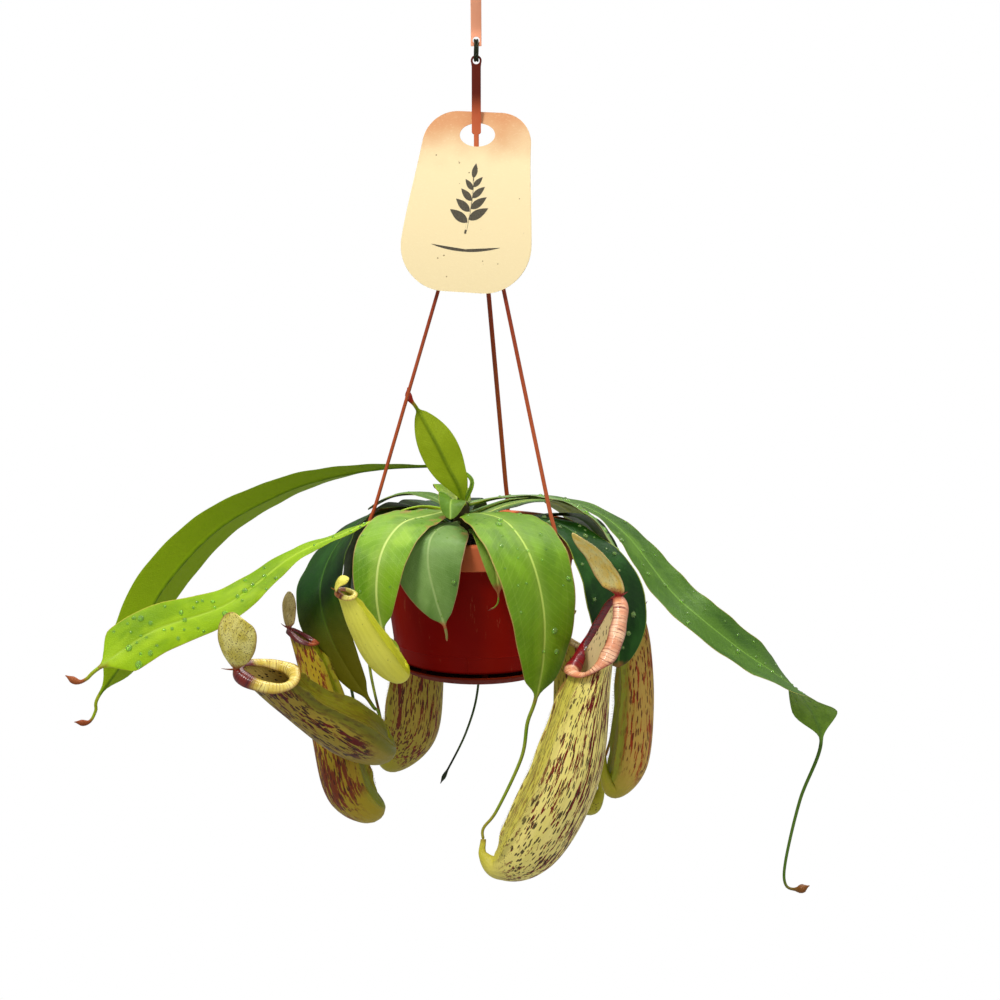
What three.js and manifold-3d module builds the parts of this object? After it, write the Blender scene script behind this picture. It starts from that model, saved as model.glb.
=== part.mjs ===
// A pitcher plant growing in a plastic hanging pot, with its clip-on saucer, three-rod hanger,
// wire link, top hook and card tag. Millimetres, +Z up, and -Y is the side that faces the viewer.
// The origin is the seat inside the top hook, where the whole plant hangs. Pot and plant are laid out
// in a group of their own whose origin is the centre of the pot's rim, level with its top.
import * as THREE from "three";
import Module from "manifold-3d";
import { mergeVertices } from "three/addons/utils/BufferGeometryUtils.js";

const wasm = await Module();
wasm.setup();

// Driving dimensions.
const RIM_DROP = 385; // from the hook seat down to the top of the pot's rim
const GAP = 0.3; // between solids that touch
const POT = { rim: 73, top: 67.5, bottom: 57.5, height: 92, band: 17.5, wall: 1.6, sides: 48 };
const SAUCER = { rim: 60, floor: 51, top: -93.8, base: -100.4, wall: 1.4 };
const SOIL_TOP = -9;
const STEM = { x: -11, y: -4, radius: 6, foot: -30, top: 22 };
const ROD = { foot: 76.5, apex: 253, top: 243, width: 3.2, thick: 2.4, azimuths: [193.5, 313.9, 73.6] };
const EAR = { deep: 9, wide: 9.6, high: 5, middle: -5.5, play: 1.2 }; // the pot's ears, slotted for the rods
const BARB = { deep: 2.6, wide: 2.4, high: 2.2, top: -8.3 }; // on a rod's foot, below its ear
const PEG = { top: 2, foot: 2.4, ring: 46, count: 6, turn: -1.45 }; // from the saucer to the pot's floor
const STRIP = { width: 6.2, thick: 1.6, low: 271, high: 319.5, eye: 2.35, end: 3.7, boss: 3.4 };
const HOOK = { width: 7.2, thick: 2.2, inner: 12, low: 328, neck: 344, eye: 3.9 };
const LINK = { reach: 3.1, wire: 0.8, pair: 1.6 };
const TAG = {
  thick: 0.8, hole: [12.4, 7.8], centre: [0.7, 0, 269.5], yaw: -0.25, lean: 0.05, slopes: [0.31, 0.09],
  top: 15.5, foot: -105, corner: [20, 34], widths: [74, 93],
};
const STALK = 1.8; // radius of a leaf's foot
const BLADE = { stations: 10, tail: 6, half: 0.45, rib: 0.5, across: [-1, -0.55, 0, 0.55, 1] };
const CUP = { sides: 12, perSegment: 2, wall: 1.3 };

const vec = (p) => new THREE.Vector3(...p);
const rad = THREE.MathUtils.degToRad;
const { lerp, smoothstep, clamp } = THREE.MathUtils;

// Materials, by the colour that each piece has.
const finish = (color, roughness) => new THREE.MeshStandardMaterial({ color, roughness, metalness: 0 });
const PAINT = {
  pot: finish(0xa5482c, 0.45),
  hanger: finish(0xc0623f, 0.4),
  wire: finish(0x2c3320, 0.5),
  card: finish(0xf3dcae, 0.8),
  soil: finish(0x2b1c14, 0.95),
  stem: finish(0x6b5a35, 0.7),
  leaf: finish(0x5f8f2a, 0.4),
  deepLeaf: finish(0x1f4a1c, 0.35),
  brightLeaf: finish(0x8fbe1f, 0.4),
  cup: finish(0xb9ad4a, 0.45),
  redCup: finish(0x9a6a38, 0.45),
  youngCup: finish(0xc6c643, 0.4),
  lip: finish(0xd9c95a, 0.3),
  redLip: finish(0xb2484a, 0.3),
  lid: finish(0xc2a85a, 0.5),
};

// Makes a manifold-3d solid from a closed geometry.
function solidOf(geometry) {
  const plain = geometry.clone();
  plain.deleteAttribute("normal");
  plain.deleteAttribute("uv");
  const merged = mergeVertices(plain, 1e-4);
  return new wasm.Manifold(
    new wasm.Mesh({
      numProp: 3,
      vertProperties: new Float32Array(merged.attributes.position.array),
      triVerts: new Uint32Array(merged.index.array),
    }),
  );
}

// Gives a solid back as a geometry.
function geometryOf(solid) {
  const { vertProperties, triVerts } = solid.getMesh();
  return new THREE.BufferGeometry()
    .setAttribute("position", new THREE.BufferAttribute(new Float32Array(vertProperties), 3))
    .setIndex(new THREE.BufferAttribute(new Uint32Array(triVerts), 1));
}

function node(name, geometry, material) {
  const mesh = new THREE.Mesh(geometry, material);
  mesh.name = name;
  return mesh;
}

// Closes a row of rings, each a list of as many points, into one skin. Quads from the index split on
// are cut along the other diagonal, so that the two faces of a blade are cut alike.
function loft(rings, { loop = false, split = Infinity } = {}) {
  const n = rings[0].length;
  const points = rings.flat();
  const index = [];
  const last = loop ? rings.length : rings.length - 1;
  for (let i = 0; i < last; i++) {
    const [a, b] = [i * n, ((i + 1) % rings.length) * n];
    for (let j = 0; j < n; j++) {
      const k = (j + 1) % n;
      if (j < split) index.push(a + j, a + k, b + k, a + j, b + k, b + j);
      else index.push(a + j, a + k, b + j, a + k, b + k, b + j);
    }
  }
  if (!loop) {
    const cap = (ring, start, turned) => {
      const centre = ring.reduce((sum, p) => sum.add(p), new THREE.Vector3()).divideScalar(n);
      points.push(centre);
      for (let j = 0; j < n; j++) {
        const k = (j + 1) % n;
        index.push(points.length - 1, start + (turned ? j : k), start + (turned ? k : j));
      }
    };
    cap(rings[0], 0, false);
    cap(rings.at(-1), (rings.length - 1) * n, true);
  }
  const geometry = new THREE.BufferGeometry().setFromPoints(points).setIndex(index);
  if (signedVolume(points, index) < 0) geometry.setIndex(index.reverse());
  return geometry;
}

function signedVolume(points, index) {
  const cross = new THREE.Vector3();
  let sum = 0;
  for (let i = 0; i < index.length; i += 3) {
    sum += points[index[i]].dot(cross.crossVectors(points[index[i + 1]], points[index[i + 2]]));
  }
  return sum;
}

// A smooth curve through points, and the share of its length at which it passes each of them.
function smoothCurve(points) {
  const curve = new THREE.CatmullRomCurve3(points, false, "catmullrom", 0.5);
  curve.arcLengthDivisions = 40 * (points.length - 1);
  const lengths = curve.getLengths();
  const shares = points.map((_, i) => lengths[40 * i] / lengths.at(-1));
  return { curve, shares };
}

// Carries a normal along a row of points without spin, by double reflection.
function carryNormals(points, tangents, first) {
  const normals = [first.clone().addScaledVector(tangents[0], -first.dot(tangents[0])).normalize()];
  for (let i = 1; i < points.length; i++) {
    const step = points[i].clone().sub(points[i - 1]);
    const c = step.lengthSq();
    const n = normals[i - 1].clone().addScaledVector(step, (-2 / c) * step.dot(normals[i - 1]));
    const t = tangents[i - 1].clone().addScaledVector(step, (-2 / c) * step.dot(tangents[i - 1]));
    const turn = tangents[i].clone().sub(t);
    const d = turn.lengthSq();
    if (d > 1e-12) n.addScaledVector(turn, (-2 / d) * turn.dot(n));
    normals.push(n.addScaledVector(tangents[i], -n.dot(tangents[i])).normalize());
  }
  return normals;
}

// Reads a list of values spread evenly over 0 to 1.
function along(values, s) {
  const x = clamp(s, 0, 1) * (values.length - 1);
  const i = Math.min(Math.floor(x), values.length - 2);
  return values.length === 1 ? values[0] : lerp(values[i], values[i + 1], x - i);
}

// The share of its greatest width that a blade has at s, from 0 at its base to 1 at its tip.
function bladeShape(s, peak, full) {
  const p = full * peak;
  const q = full * (1 - peak);
  return (s ** p * (1 - s) ** q) / (peak ** p * (1 - peak) ** q);
}

// A leaf blade with its midrib, and the tendril and bud that its midrib runs on into. rib is the line of
// the midrib, and tip the number of its point where the blade ends. twist, in degrees, turns the blade
// about its midrib from base to tip, fold lifts its halves, curl rolls its edges down and wave ripples them.
function bladeGeometry(spec) {
  const { rib, tip, width, up } = spec;
  const { peak = 0.55, full = 1.7, twist = [0], fold = 12, curl = 0.12, wave = [0, 1] } = spec;
  const { stalk = STALK, tendril = 1.3, bud = 0, stations = BLADE.stations, tail = BLADE.tail } = spec;
  const { curve, shares } = smoothCurve(rib);
  const end = shares[tip];
  const tails = tip < rib.length - 1 ? tail : 0;
  const steps = [];
  for (let i = 0; i <= stations; i++) steps.push((end * i) / stations);
  for (let i = 1; i <= tails; i++) steps.push(lerp(end, 1, i / tails));
  const points = steps.map((u) => curve.getPointAt(u));
  const tangents = steps.map((u) => curve.getTangentAt(u));
  const normals = carryNormals(points, tangents, up);
  const rings = steps.map((u, i) => {
    const s = Math.min(u / end, 1);
    const beyond = u > end ? (u - end) / (1 - end) : 0;
    const normal = normals[i].clone().applyAxisAngle(tangents[i], rad(along(twist, s)));
    const side = new THREE.Vector3().crossVectors(tangents[i], normal);
    const round = Math.max(1 - smoothstep(s, 0, 0.16), tails ? smoothstep(s, 0.93, 1) : 0);
    const swell = bud * Math.exp(-(((beyond - 0.9) / 0.07) ** 2));
    const thin = s < 0.5 ? stalk : lerp(tendril, tendril * 0.75, beyond) + swell;
    const radius = tails || s < 0.9 ? thin : 0.6;
    const blade = (width / 2) * bladeShape(Math.min(s, 0.9999), peak, full);
    const half = Math.max(lerp(blade, radius, round), 0.7);
    const at = (v, face) => {
      const flat = BLADE.half + BLADE.rib * Math.max(0, 1 - 3 * Math.abs(v));
      const thick = lerp(flat, Math.max(radius * Math.sqrt(1 - v * v), 0.3), round);
      const beat = Math.sin(2 * Math.PI * wave[1] * s + (v > 0 ? 0 : 2)) * Math.sin(Math.PI * s);
      const ripple = wave[0] * v * v * beat;
      const rise = (1 - round) * (half * (Math.abs(v) * Math.tan(rad(fold)) - curl * v * v) + ripple);
      return points[i].clone().addScaledVector(side, v * half).addScaledVector(normal, rise + face * thick);
    };
    const back = BLADE.across.toReversed();
    return [...BLADE.across.map((v) => at(v, 1)), ...back.map((v) => at(v, -1))];
  });
  return loft(rings, { split: BLADE.across.length });
}

// A leaf that springs from the stem at an azimuth and a height, and then follows its own points. Its foot
// stands off the stem by the gap, whatever its slope. Where it carries a pitcher, its tendril runs on to
// the foot of that pitcher's path.
function leaf(name, { paint, from: [azimuth, height], points, carries, ...spec }) {
  const out = new THREE.Vector3(Math.cos(rad(azimuth)), Math.sin(rad(azimuth)), 0);
  const base = new THREE.Vector3(STEM.x, STEM.y, height).addScaledVector(out, STEM.radius + GAP);
  const slope = vec(points[0]).sub(base).normalize().dot(out);
  base.addScaledVector(out, (spec.stalk ?? STALK) * Math.sqrt(1 - slope * slope));
  const up = new THREE.Vector3(0, 0, 1).sub(out);
  const rib = [base, ...points.map(vec)];
  if (carries) {
    const [foot, next] = carries.path.map(vec);
    const way = next.clone().sub(foot).normalize();
    rib.push(foot.clone().addScaledVector(way, -7), foot.clone().addScaledVector(way, -GAP));
  }
  return node(`leaf_${name}`, bladeGeometry({ tip: points.length, ...spec, rib, up }), paint);
}

// The rings of a pitcher. Each point of its path is x, y, z and the cup's radius there: the path runs from
// the end of the tendril, round the foot and up to the centre of the mouth. front is the winged side, rise
// is how much higher the mouth stands at its back, lean how far that back leans forward, and narrow how
// much slimmer it is there.
function pitcherFrame({ path, front, rise = 12, lean = 0, narrow = 0.35 }) {
  const { curve } = smoothCurve(path.map(vec));
  const girth = new THREE.SplineCurve(path.map((p, i) => new THREE.Vector2(i, p[3])));
  const count = CUP.perSegment * (path.length - 1);
  const steps = Array.from({ length: count + 1 }, (_, i) => i / count);
  const points = steps.map((u) => curve.getPoint(u));
  const tangents = steps.map((u) => curve.getTangent(u));
  const radii = steps.map((u) => girth.getPoint(u).y);
  const down = tangents.toReversed().map((t) => t.clone().negate());
  const fronts = carryNormals(points.toReversed(), down, vec(front)).reverse();
  const top = tangents.at(-1);
  const ring = (i, phi, radius) => {
    const slant = smoothstep(steps[i], 0.5, 1);
    const back = ((1 - Math.cos(phi)) / 2) ** 1.5;
    const side = new THREE.Vector3().crossVectors(tangents[i], fronts[i]);
    return points[i]
      .clone()
      .addScaledVector(fronts[i], radius * Math.cos(phi) + slant * lean * back)
      .addScaledVector(side, radius * (1 - narrow * slant * back) * Math.sin(phi))
      .addScaledVector(top, slant * rise * back);
  };
  return { count, ring, radii, top, front: fronts[count] };
}

// The cup: a hollow shell, open at the mouth, with two raised wings down its front.
function cupGeometry({ count, ring, radii }, { wings = 2.5 }) {
  const angles = Array.from({ length: CUP.sides }, (_, k) => (2 * Math.PI * k) / CUP.sides);
  const rings = radii.map((radius, i) => {
    const fade = smoothstep(i / count, 0.3, 0.5) * (1 - smoothstep(i / count, 0.93, 1));
    const ridge = (k) => (k === 1 || k === CUP.sides - 1 ? wings * fade : 0);
    return angles.map((phi, k) => ring(i, phi, radius + ridge(k)));
  });
  for (let i = count; radii[i] > CUP.wall + 3.5; i--) {
    rings.push(angles.map((phi) => ring(i, phi, radii[i] - CUP.wall)));
  }
  return loft(rings);
}

// The lip: a ribbed roll round the mouth that climbs to a neck at the back.
function lipGeometry({ count, ring, radii, top }, { lip }) {
  const [wide, high] = lip;
  const corner = (k) => ring(count, (2 * Math.PI * k) / CUP.sides, radii[count] - CUP.wall / 2);
  const edge = (k) => corner(Math.floor(k / 2)).lerp(corner(Math.ceil(k / 2)), 0.5);
  const rings = Array.from({ length: 2 * CUP.sides }, (_, k) => {
    const run = edge(k + 1).sub(edge(k - 1)).normalize();
    const up = top.clone().addScaledVector(run, -top.dot(run)).normalize();
    const out = new THREE.Vector3().crossVectors(run, up);
    const ribbed = 1 + 0.12 * (k % 2);
    const steep = Math.sqrt(Math.max(0, 1 - up.dot(top) ** 2));
    const centre = edge(k).addScaledVector(up, 2 * GAP + high * 1.12 + (steep * CUP.wall) / 3);
    return Array.from({ length: 6 }, (_, j) => {
      const a = (Math.PI * j) / 3;
      return centre
        .clone()
        .addScaledVector(out, wide * ribbed * Math.cos(a))
        .addScaledVector(up, high * ribbed * Math.sin(a));
    });
  });
  return loft(rings, { loop: true });
}

// The lid: a shallow dish on a short neck at the back of the lip. lid is its length, its width, and the
// tilt of its neck and of its tip from the cup's own direction towards the front, in degrees.
function lidGeometry({ count, ring, radii, top, front }, { lip, lid, lidTwist = 0, lidPeak = 0.5 }) {
  const [length, width, low, high] = lid;
  const start = ring(count, Math.PI, radii[count] - CUP.wall / 2);
  start.addScaledVector(top, 3 * GAP + lip[1] * 2.3);
  const lean = (a) => top.clone().multiplyScalar(Math.cos(rad(a))).addScaledVector(front, Math.sin(rad(a)));
  const rib = [start];
  for (const [share, turn] of [[0.2, 0], [0.4, 0.4], [0.4, 1]]) {
    rib.push(rib.at(-1).clone().addScaledVector(lean(lerp(low, high, turn)), length * share));
  }
  const shape = { peak: lidPeak, full: 0.95, fold: -4, curl: 0.22, twist: [lidTwist] };
  const up = top.clone().sub(front);
  return bladeGeometry({ rib, tip: 3, width, up, stalk: 1.4, stations: 7, ...shape });
}

// A pitcher as three nodes: cup, lip and lid.
function pitcher(name, { paints, ...spec }) {
  const frame = pitcherFrame(spec);
  const [cupPaint, lipPaint, lidPaint] = paints;
  return [
    node(`pitcher_${name}_cup`, cupGeometry(frame, spec), cupPaint),
    node(`pitcher_${name}_lip`, lipGeometry(frame, spec), lipPaint),
    node(`pitcher_${name}_lid`, lidGeometry(frame, spec), lidPaint),
  ];
}

// A shape turned about the Z axis. Points are radius and height.
function turned(points, segments) {
  const profile = points.map(([r, z]) => new THREE.Vector2(r, z));
  return new THREE.LatheGeometry(profile, segments).rotateX(Math.PI / 2);
}

function box(x, y, z, [px, py, pz]) {
  return new THREE.BoxGeometry(x, y, z).translate(px, py, pz);
}

// The pot: a tapered tub with a banded rim and three ears outside it for the rods' feet.
function potGeometry() {
  const { rim, top, bottom, height, band, wall } = POT;
  const profile = [
    [0, -height], [bottom - 1.5, -height], [bottom, -height + 1.5], [top, -band],
    [top, -wall], [rim - wall, -wall], [rim - wall, -band], [rim, -band], [rim, -0.9], [rim - 0.9, 0],
    [top - wall, 0], [top - wall, -band], [bottom - wall, -height + wall], [0, -height + wall],
  ];
  let solid = solidOf(turned(profile, POT.sides));
  for (const azimuth of ROD.azimuths) {
    const ear = box(EAR.deep, EAR.wide, EAR.high, [ROD.foot - 0.4, 0, EAR.middle]);
    const slot = box(ROD.thick + EAR.play, ROD.width + EAR.play, 3 * EAR.high, [ROD.foot, 0, EAR.middle]);
    ear.rotateZ(rad(azimuth));
    slot.rotateZ(rad(azimuth));
    solid = solid.add(solidOf(ear)).subtract(solidOf(slot));
  }
  return geometryOf(solid);
}

// The saucer: a shallow dish under the pot, with pegs that clip to the pot's floor.
function saucerGeometry() {
  const { rim, floor, top, base, wall } = SAUCER;
  const profile = [[0, base], [floor, base], [rim - 1, top - 1.5], [rim, top], [rim - wall, top],
    [floor - 0.6, base + wall], [0, base + wall]];
  let solid = solidOf(turned(profile, POT.sides));
  const reach = -POT.height - GAP - base - wall / 2;
  for (let i = 0; i < PEG.count; i++) {
    const peg = new THREE.CylinderGeometry(PEG.top, PEG.foot, reach, 8).rotateX(Math.PI / 2);
    peg.translate(PEG.ring, 0, base + (wall + reach) / 2).rotateZ((2 * Math.PI * i) / PEG.count + PEG.turn);
    solid = solid.add(solidOf(peg));
  }
  return geometryOf(solid);
}

// The soil: a plug of peat with an uneven top and a plain hole for the stem.
function soilGeometry() {
  const inner = (z) => {
    const share = clamp((-POT.band - z) / (POT.height - POT.band), 0, 1);
    return (lerp(POT.top, POT.bottom, share) - POT.wall) * Math.cos(Math.PI / POT.sides) - GAP;
  };
  const floor = -POT.height + POT.wall + GAP;
  const lump = (r, k) => SOIL_TOP + 1.4 * Math.sin(r * 0.31 + k * 1.7) + 1.1 * Math.sin(k * 2.9 + r);
  const sides = 24;
  const circle = (r, z) => Array.from({ length: sides }, (_, k) => {
    const a = (2 * Math.PI * k) / sides;
    return new THREE.Vector3(r * Math.cos(a), r * Math.sin(a), z(r, k));
  });
  const edge = SOIL_TOP - 5;
  const rings = [circle(inner(floor), () => floor), circle(inner(edge), () => edge)];
  for (const r of [58, 48, 34, 18]) rings.push(circle(r, lump));
  const bore = STEM.radius + 2 * GAP;
  const depth = 2 * (SOIL_TOP - STEM.foot);
  const hole = new THREE.CylinderGeometry(bore, bore, depth, 16).rotateX(Math.PI / 2);
  hole.translate(STEM.x, STEM.y, STEM.foot - GAP + depth / 2);
  return geometryOf(solidOf(loft(rings)).subtract(solidOf(hole)));
}

function stemGeometry() {
  const { x, y, radius, foot, top } = STEM;
  const side = [[radius - 0.5, foot], [radius, foot + 2], [radius, top - 4], [radius - 2.5, top]];
  return turned([[0, foot], ...side, [0, top]], 16).translate(x, y, 0);
}

// One rod of the hanger, drawn in the XZ plane: its barbed foot goes through an ear of the pot.
function rodGeometry() {
  const { foot, apex, top, width, thick } = ROD;
  const reach = (z) => (foot + 1) * (1 - z / apex);
  const line = [[foot, -10.5], [foot, -4], [foot, 6], [reach(20), 20]];
  for (const z of [60, 120, 180, top]) line.push([reach(z), z]);
  const { curve } = smoothCurve(line.map(([x, z]) => new THREE.Vector3(x, 0, z)));
  const section = new THREE.Shape();
  section.absellipse(0, 0, width / 2, thick / 2, 0, 2 * Math.PI);
  const bar = new THREE.ExtrudeGeometry(section, { steps: 14, curveSegments: 3, extrudePath: curve });
  const barb = box(thick + BARB.deep, width + BARB.wide, BARB.high, [foot, 0, BARB.top - BARB.high / 2]);
  return geometryOf(solidOf(bar).add(solidOf(barb)));
}

// The neck of the hanger: a flat strip with an eye for the link, above a thin stem and its boss.
function neckGeometry() {
  const { width, thick, low, high, eye, end, boss } = STRIP;
  const centre = high - 1;
  const foot = ROD.top + GAP;
  const strip = box(width, thick, high - low, [0, 0, (low + high) / 2 - 1]);
  const round = new THREE.CylinderGeometry(end, end, thick, 20).translate(0, 0, centre);
  const hole = new THREE.CylinderGeometry(eye, eye, thick * 3, 16).translate(0, 0, centre);
  const stem = box(3.4, 2.2, low - foot, [0, 0, (low + foot) / 2]);
  const knob = turned([[0, foot], [boss, foot], [boss, foot + 3], [2, foot + 7], [0, foot + 7]], 20);
  const solid = solidOf(strip).add(solidOf(round)).add(solidOf(stem)).add(solidOf(knob));
  return geometryOf(solid.subtract(solidOf(hole)));
}

// The top hook: a flat strip bent over into a crook, with an eye for the link at its lower end.
function hookGeometry() {
  const { width, thick, inner, low, neck } = HOOK;
  const middle = inner + thick / 2;
  const heart = RIM_DROP - inner;
  const bend = Array.from({ length: 12 }, (_, i) => {
    const a = Math.PI - (Math.PI * (i + 0.5)) / 12;
    const r = middle / Math.cos(Math.PI / 24);
    return [r * Math.cos(a), heart + r * Math.sin(a)];
  });
  const line = [[0, low], [0, neck - 6], [-2.5, neck], [-middle + 2, heart - 12], [-middle, heart - 6]];
  line.push(...bend, [middle, heart - 5], [middle + 2, heart - 12]);
  const middles = line.map(([y, z]) => new THREE.Vector2(y, z));
  const normal = (i) => {
    const step = middles[i + 1].clone().sub(middles[i]).normalize();
    return new THREE.Vector2(-step.y, step.x);
  };
  const edge = (side) => middles.map((p, i) => {
    const before = normal(Math.max(i - 1, 0));
    const after = normal(Math.min(i, middles.length - 2));
    const mitre = before.clone().add(after).divideScalar(1 + before.dot(after));
    return p.clone().addScaledVector(mitre, (side * thick) / 2);
  });
  const left = edge(1);
  const right = edge(-1).reverse();
  const shape = new THREE.Shape([...left, ...right]);
  const strip = new THREE.ExtrudeGeometry(shape, { depth: width, bevelEnabled: false });
  const [across, forward, up] = [[1, 0, 0], [0, 1, 0], [0, 0, 1]].map(vec);
  strip.translate(0, 0, -width / 2).applyMatrix4(new THREE.Matrix4().makeBasis(forward, up, across));
  const eye = new THREE.CylinderGeometry(STRIP.eye, STRIP.eye, thick * 3, 16).translate(0, 0, low + HOOK.eye);
  return geometryOf(solidOf(strip).subtract(solidOf(eye)));
}

// The link: an oval loop of doubled wire through the eyes of the neck and the hook.
function linkGeometry() {
  const low = STRIP.high - 1;
  const high = HOOK.low + HOOK.eye;
  const half = (high - low) / 2;
  const steps = 20;
  const rings = Array.from({ length: steps }, (_, i) => {
    const a = (2 * Math.PI * i) / steps;
    const centre = vec([0, LINK.reach * Math.cos(a), low + half + half * Math.sin(a)]);
    const out = vec([0, half * Math.cos(a), LINK.reach * Math.sin(a)]).normalize();
    return Array.from({ length: 6 }, (_, j) => {
      const b = (2 * Math.PI * j) / 6;
      const point = centre.clone().addScaledVector(out, LINK.wire * Math.cos(b));
      return point.add(vec([LINK.pair * Math.sin(b), 0, 0]));
    });
  });
  return loft(rings, { loop: true });
}

// The tag: a card with rounded corners, wider at its foot, and an oval hole. It hangs on the neck, which
// passes in front of the bridge above the hole and behind the rest, and its foot leans on the front rods.
function tagMesh() {
  const { thick, hole, top, foot, corner, widths, slopes } = TAG;
  const rows = [];
  for (const t of [0, 0.08, 0.25, 0.5, 0.75, 1]) rows.push(corner[0] * (1 - Math.cos((t * Math.PI) / 2)));
  for (const t of [0.25, 0.4, 0.52, 0.64]) rows.push(t * (top - foot));
  for (const t of [1, 0.8, 0.6, 0.42, 0.25, 0.12, 0.03, 0]) {
    rows.push(top - foot - corner[1] * (1 - Math.cos((t * Math.PI) / 2)));
  }
  const rings = rows.map((down) => {
    const share = down / (top - foot);
    const [near, far] = [Math.min(1, down / corner[0]), Math.min(1, (top - foot - down) / corner[1])];
    const round = (x, flat) => lerp(flat, 1, Math.sqrt(1 - (1 - x) ** 2));
    const half = (lerp(...widths, smoothstep(share, 0, 0.9)) / 2) * round(near, 0.4) * round(far, 0.3);
    const z = top - down;
    const below = Math.min(0, z + hole[1]);
    const bend = slopes[0] * z + ((slopes[1] - slopes[0]) / 2 / (foot + hole[1])) * below * below;
    const at = (x, y) => new THREE.Vector3(x, z, -bend + y);
    return [at(-half, -thick / 2), at(0, -thick / 2), at(half, -thick / 2),
      at(half, thick / 2), at(0, thick / 2), at(-half, thick / 2)];
  });
  const card = solidOf(loft(rings, { split: 3 }));
  const cut = new THREE.CylinderGeometry(1, 1, 12, 28).rotateX(Math.PI / 2).scale(hole[0], hole[1], 1);
  const mesh = node("tag", geometryOf(card.subtract(solidOf(cut))), PAINT.card);
  const facing = new THREE.Vector3(TAG.yaw, -1, 0).normalize();
  const up = new THREE.Vector3(0, 0, 1);
  const right = new THREE.Vector3().crossVectors(up, facing);
  mesh.setRotationFromMatrix(new THREE.Matrix4().makeBasis(right, up, facing));
  mesh.rotateZ(-TAG.lean);
  mesh.position.set(...TAG.centre);
  return mesh;
}

const plant = new THREE.Group();
plant.position.z = -RIM_DROP;
plant.add(
  node("pot", potGeometry(), PAINT.pot),
  node("saucer", saucerGeometry(), PAINT.pot),
  node("soil", soilGeometry(), PAINT.soil),
  node("stem", stemGeometry(), PAINT.stem),
  node("hanger_neck", neckGeometry(), PAINT.hanger),
  node("hanger_hook", hookGeometry(), PAINT.hanger),
  node("hanger_link", linkGeometry(), PAINT.wire),
  tagMesh(),
);
["left", "right", "rear"].forEach((place, i) => {
  const rod = node(`rod_${place}`, rodGeometry(), PAINT.hanger);
  rod.rotation.z = rad(ROD.azimuths[i]);
  plant.add(rod);
});

// The pitchers, by where each hangs.
const PITCHERS = {
  front: {
    paints: [PAINT.cup, PAINT.redLip, PAINT.lid],
    path: [[5, -108, -190, 1.8], [5, -111, -200, 3.2], [15, -114, -206, 9], [34, -119, -192, 19],
      [60, -126, -149, 25.5], [73, -125, -112, 24.5], [83, -122, -82, 23.5]],
    front: [-0.97, -0.24, 0], rise: 54, lean: 32, narrow: 0.36, wings: 3, lip: [5.4, 2],
    lid: [54, 27, 40, 70], lidTwist: 20, lidPeak: 0.36,
  },
  left: {
    paints: [PAINT.cup, PAINT.lip, PAINT.lid],
    path: [[-65, -61, -122, 1.6], [-61, -65, -132, 3.4], [-64, -78, -138, 10], [-84, -98, -120, 17],
      [-110, -115, -99, 13], [-124, -127, -81, 12.8]],
    front: [0.85, -0.07, 0.5], rise: 27, narrow: 0.15, wings: 4, lip: [4.6, 1.8], lid: [41, 29, 28, 60],
    lidTwist: 50, lidPeak: 0.62,
  },
  young: {
    paints: [PAINT.youngCup, PAINT.lip, PAINT.youngCup],
    path: [[-50, -98, -66, 1.3], [-46, -103, -74, 2.6], [-50, -112, -76, 7], [-61, -122, -61, 10],
      [-71, -132, -41, 8], [-79, -139, -21, 5.2]],
    front: [0.8, -0.2, 0.5], rise: 6, narrow: 0.2, wings: 1.6, lip: [2.2, 1.1], lid: [15, 15, 10, 112],
  },
  low_left: {
    paints: [PAINT.redCup, PAINT.redLip, PAINT.lid],
    path: [[-83, -32, -154, 1.6], [-80, -35, -172, 3.4], [-73, -54, -187, 10], [-88, -63, -170, 15.5],
      [-97, -64, -134, 14], [-106, -61, -102, 10], [-115, -58, -74, 8]],
    front: [0.95, -0.2, 0.2], rise: 14, narrow: 0.4, wings: 4, lip: [2.6, 1.3], lid: [25, 14, 10, 30],
    lidTwist: 60,
  },
  behind: {
    paints: [PAINT.cup, PAINT.lip, PAINT.lid],
    path: [[-74, 70, -170, 1.6], [-75, 71, -182, 3.6], [-66, 73, -192, 11], [-52, 77, -172, 20],
      [-47, 80, -138, 20], [-45, 85, -104, 16.5], [-44, 90, -80, 15]],
    front: [-0.95, -0.1, 0], rise: 14, narrow: 0.3, wings: 4, lip: [3.4, 1.5], lid: [30, 26, 10, 60],
  },
  right: {
    paints: [PAINT.redCup, PAINT.redLip, PAINT.lid],
    path: [[90, -8, -164, 1.6], [91, -8, -178, 3.6], [98, -7, -188, 8], [109, -5, -170, 12.5],
      [113, -5, -132, 13], [113, -3, -98, 11.5], [110, 0, -76, 10]],
    front: [-0.95, -0.2, 0], rise: 12, narrow: 0.3, wings: 4, lip: [2.8, 1.4], lid: [22, 20, 20, 70],
  },
  back: {
    paints: [PAINT.cup, PAINT.lip, PAINT.lid],
    path: [[91, 50, -200, 1.6], [91, 52, -213, 3.4], [83, 56, -222, 9], [74, 60, -202, 14],
      [71, 62, -164, 14.5], [69, 64, -130, 12], [68, 66, -106, 10]],
    front: [0.95, 0, 0], rise: 12, narrow: 0.3, wings: 3, lip: [2.8, 1.4], lid: [22, 20, 20, 70],
  },
};
for (const [name, spec] of Object.entries(PITCHERS)) plant.add(...pitcher(name, spec));

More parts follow.
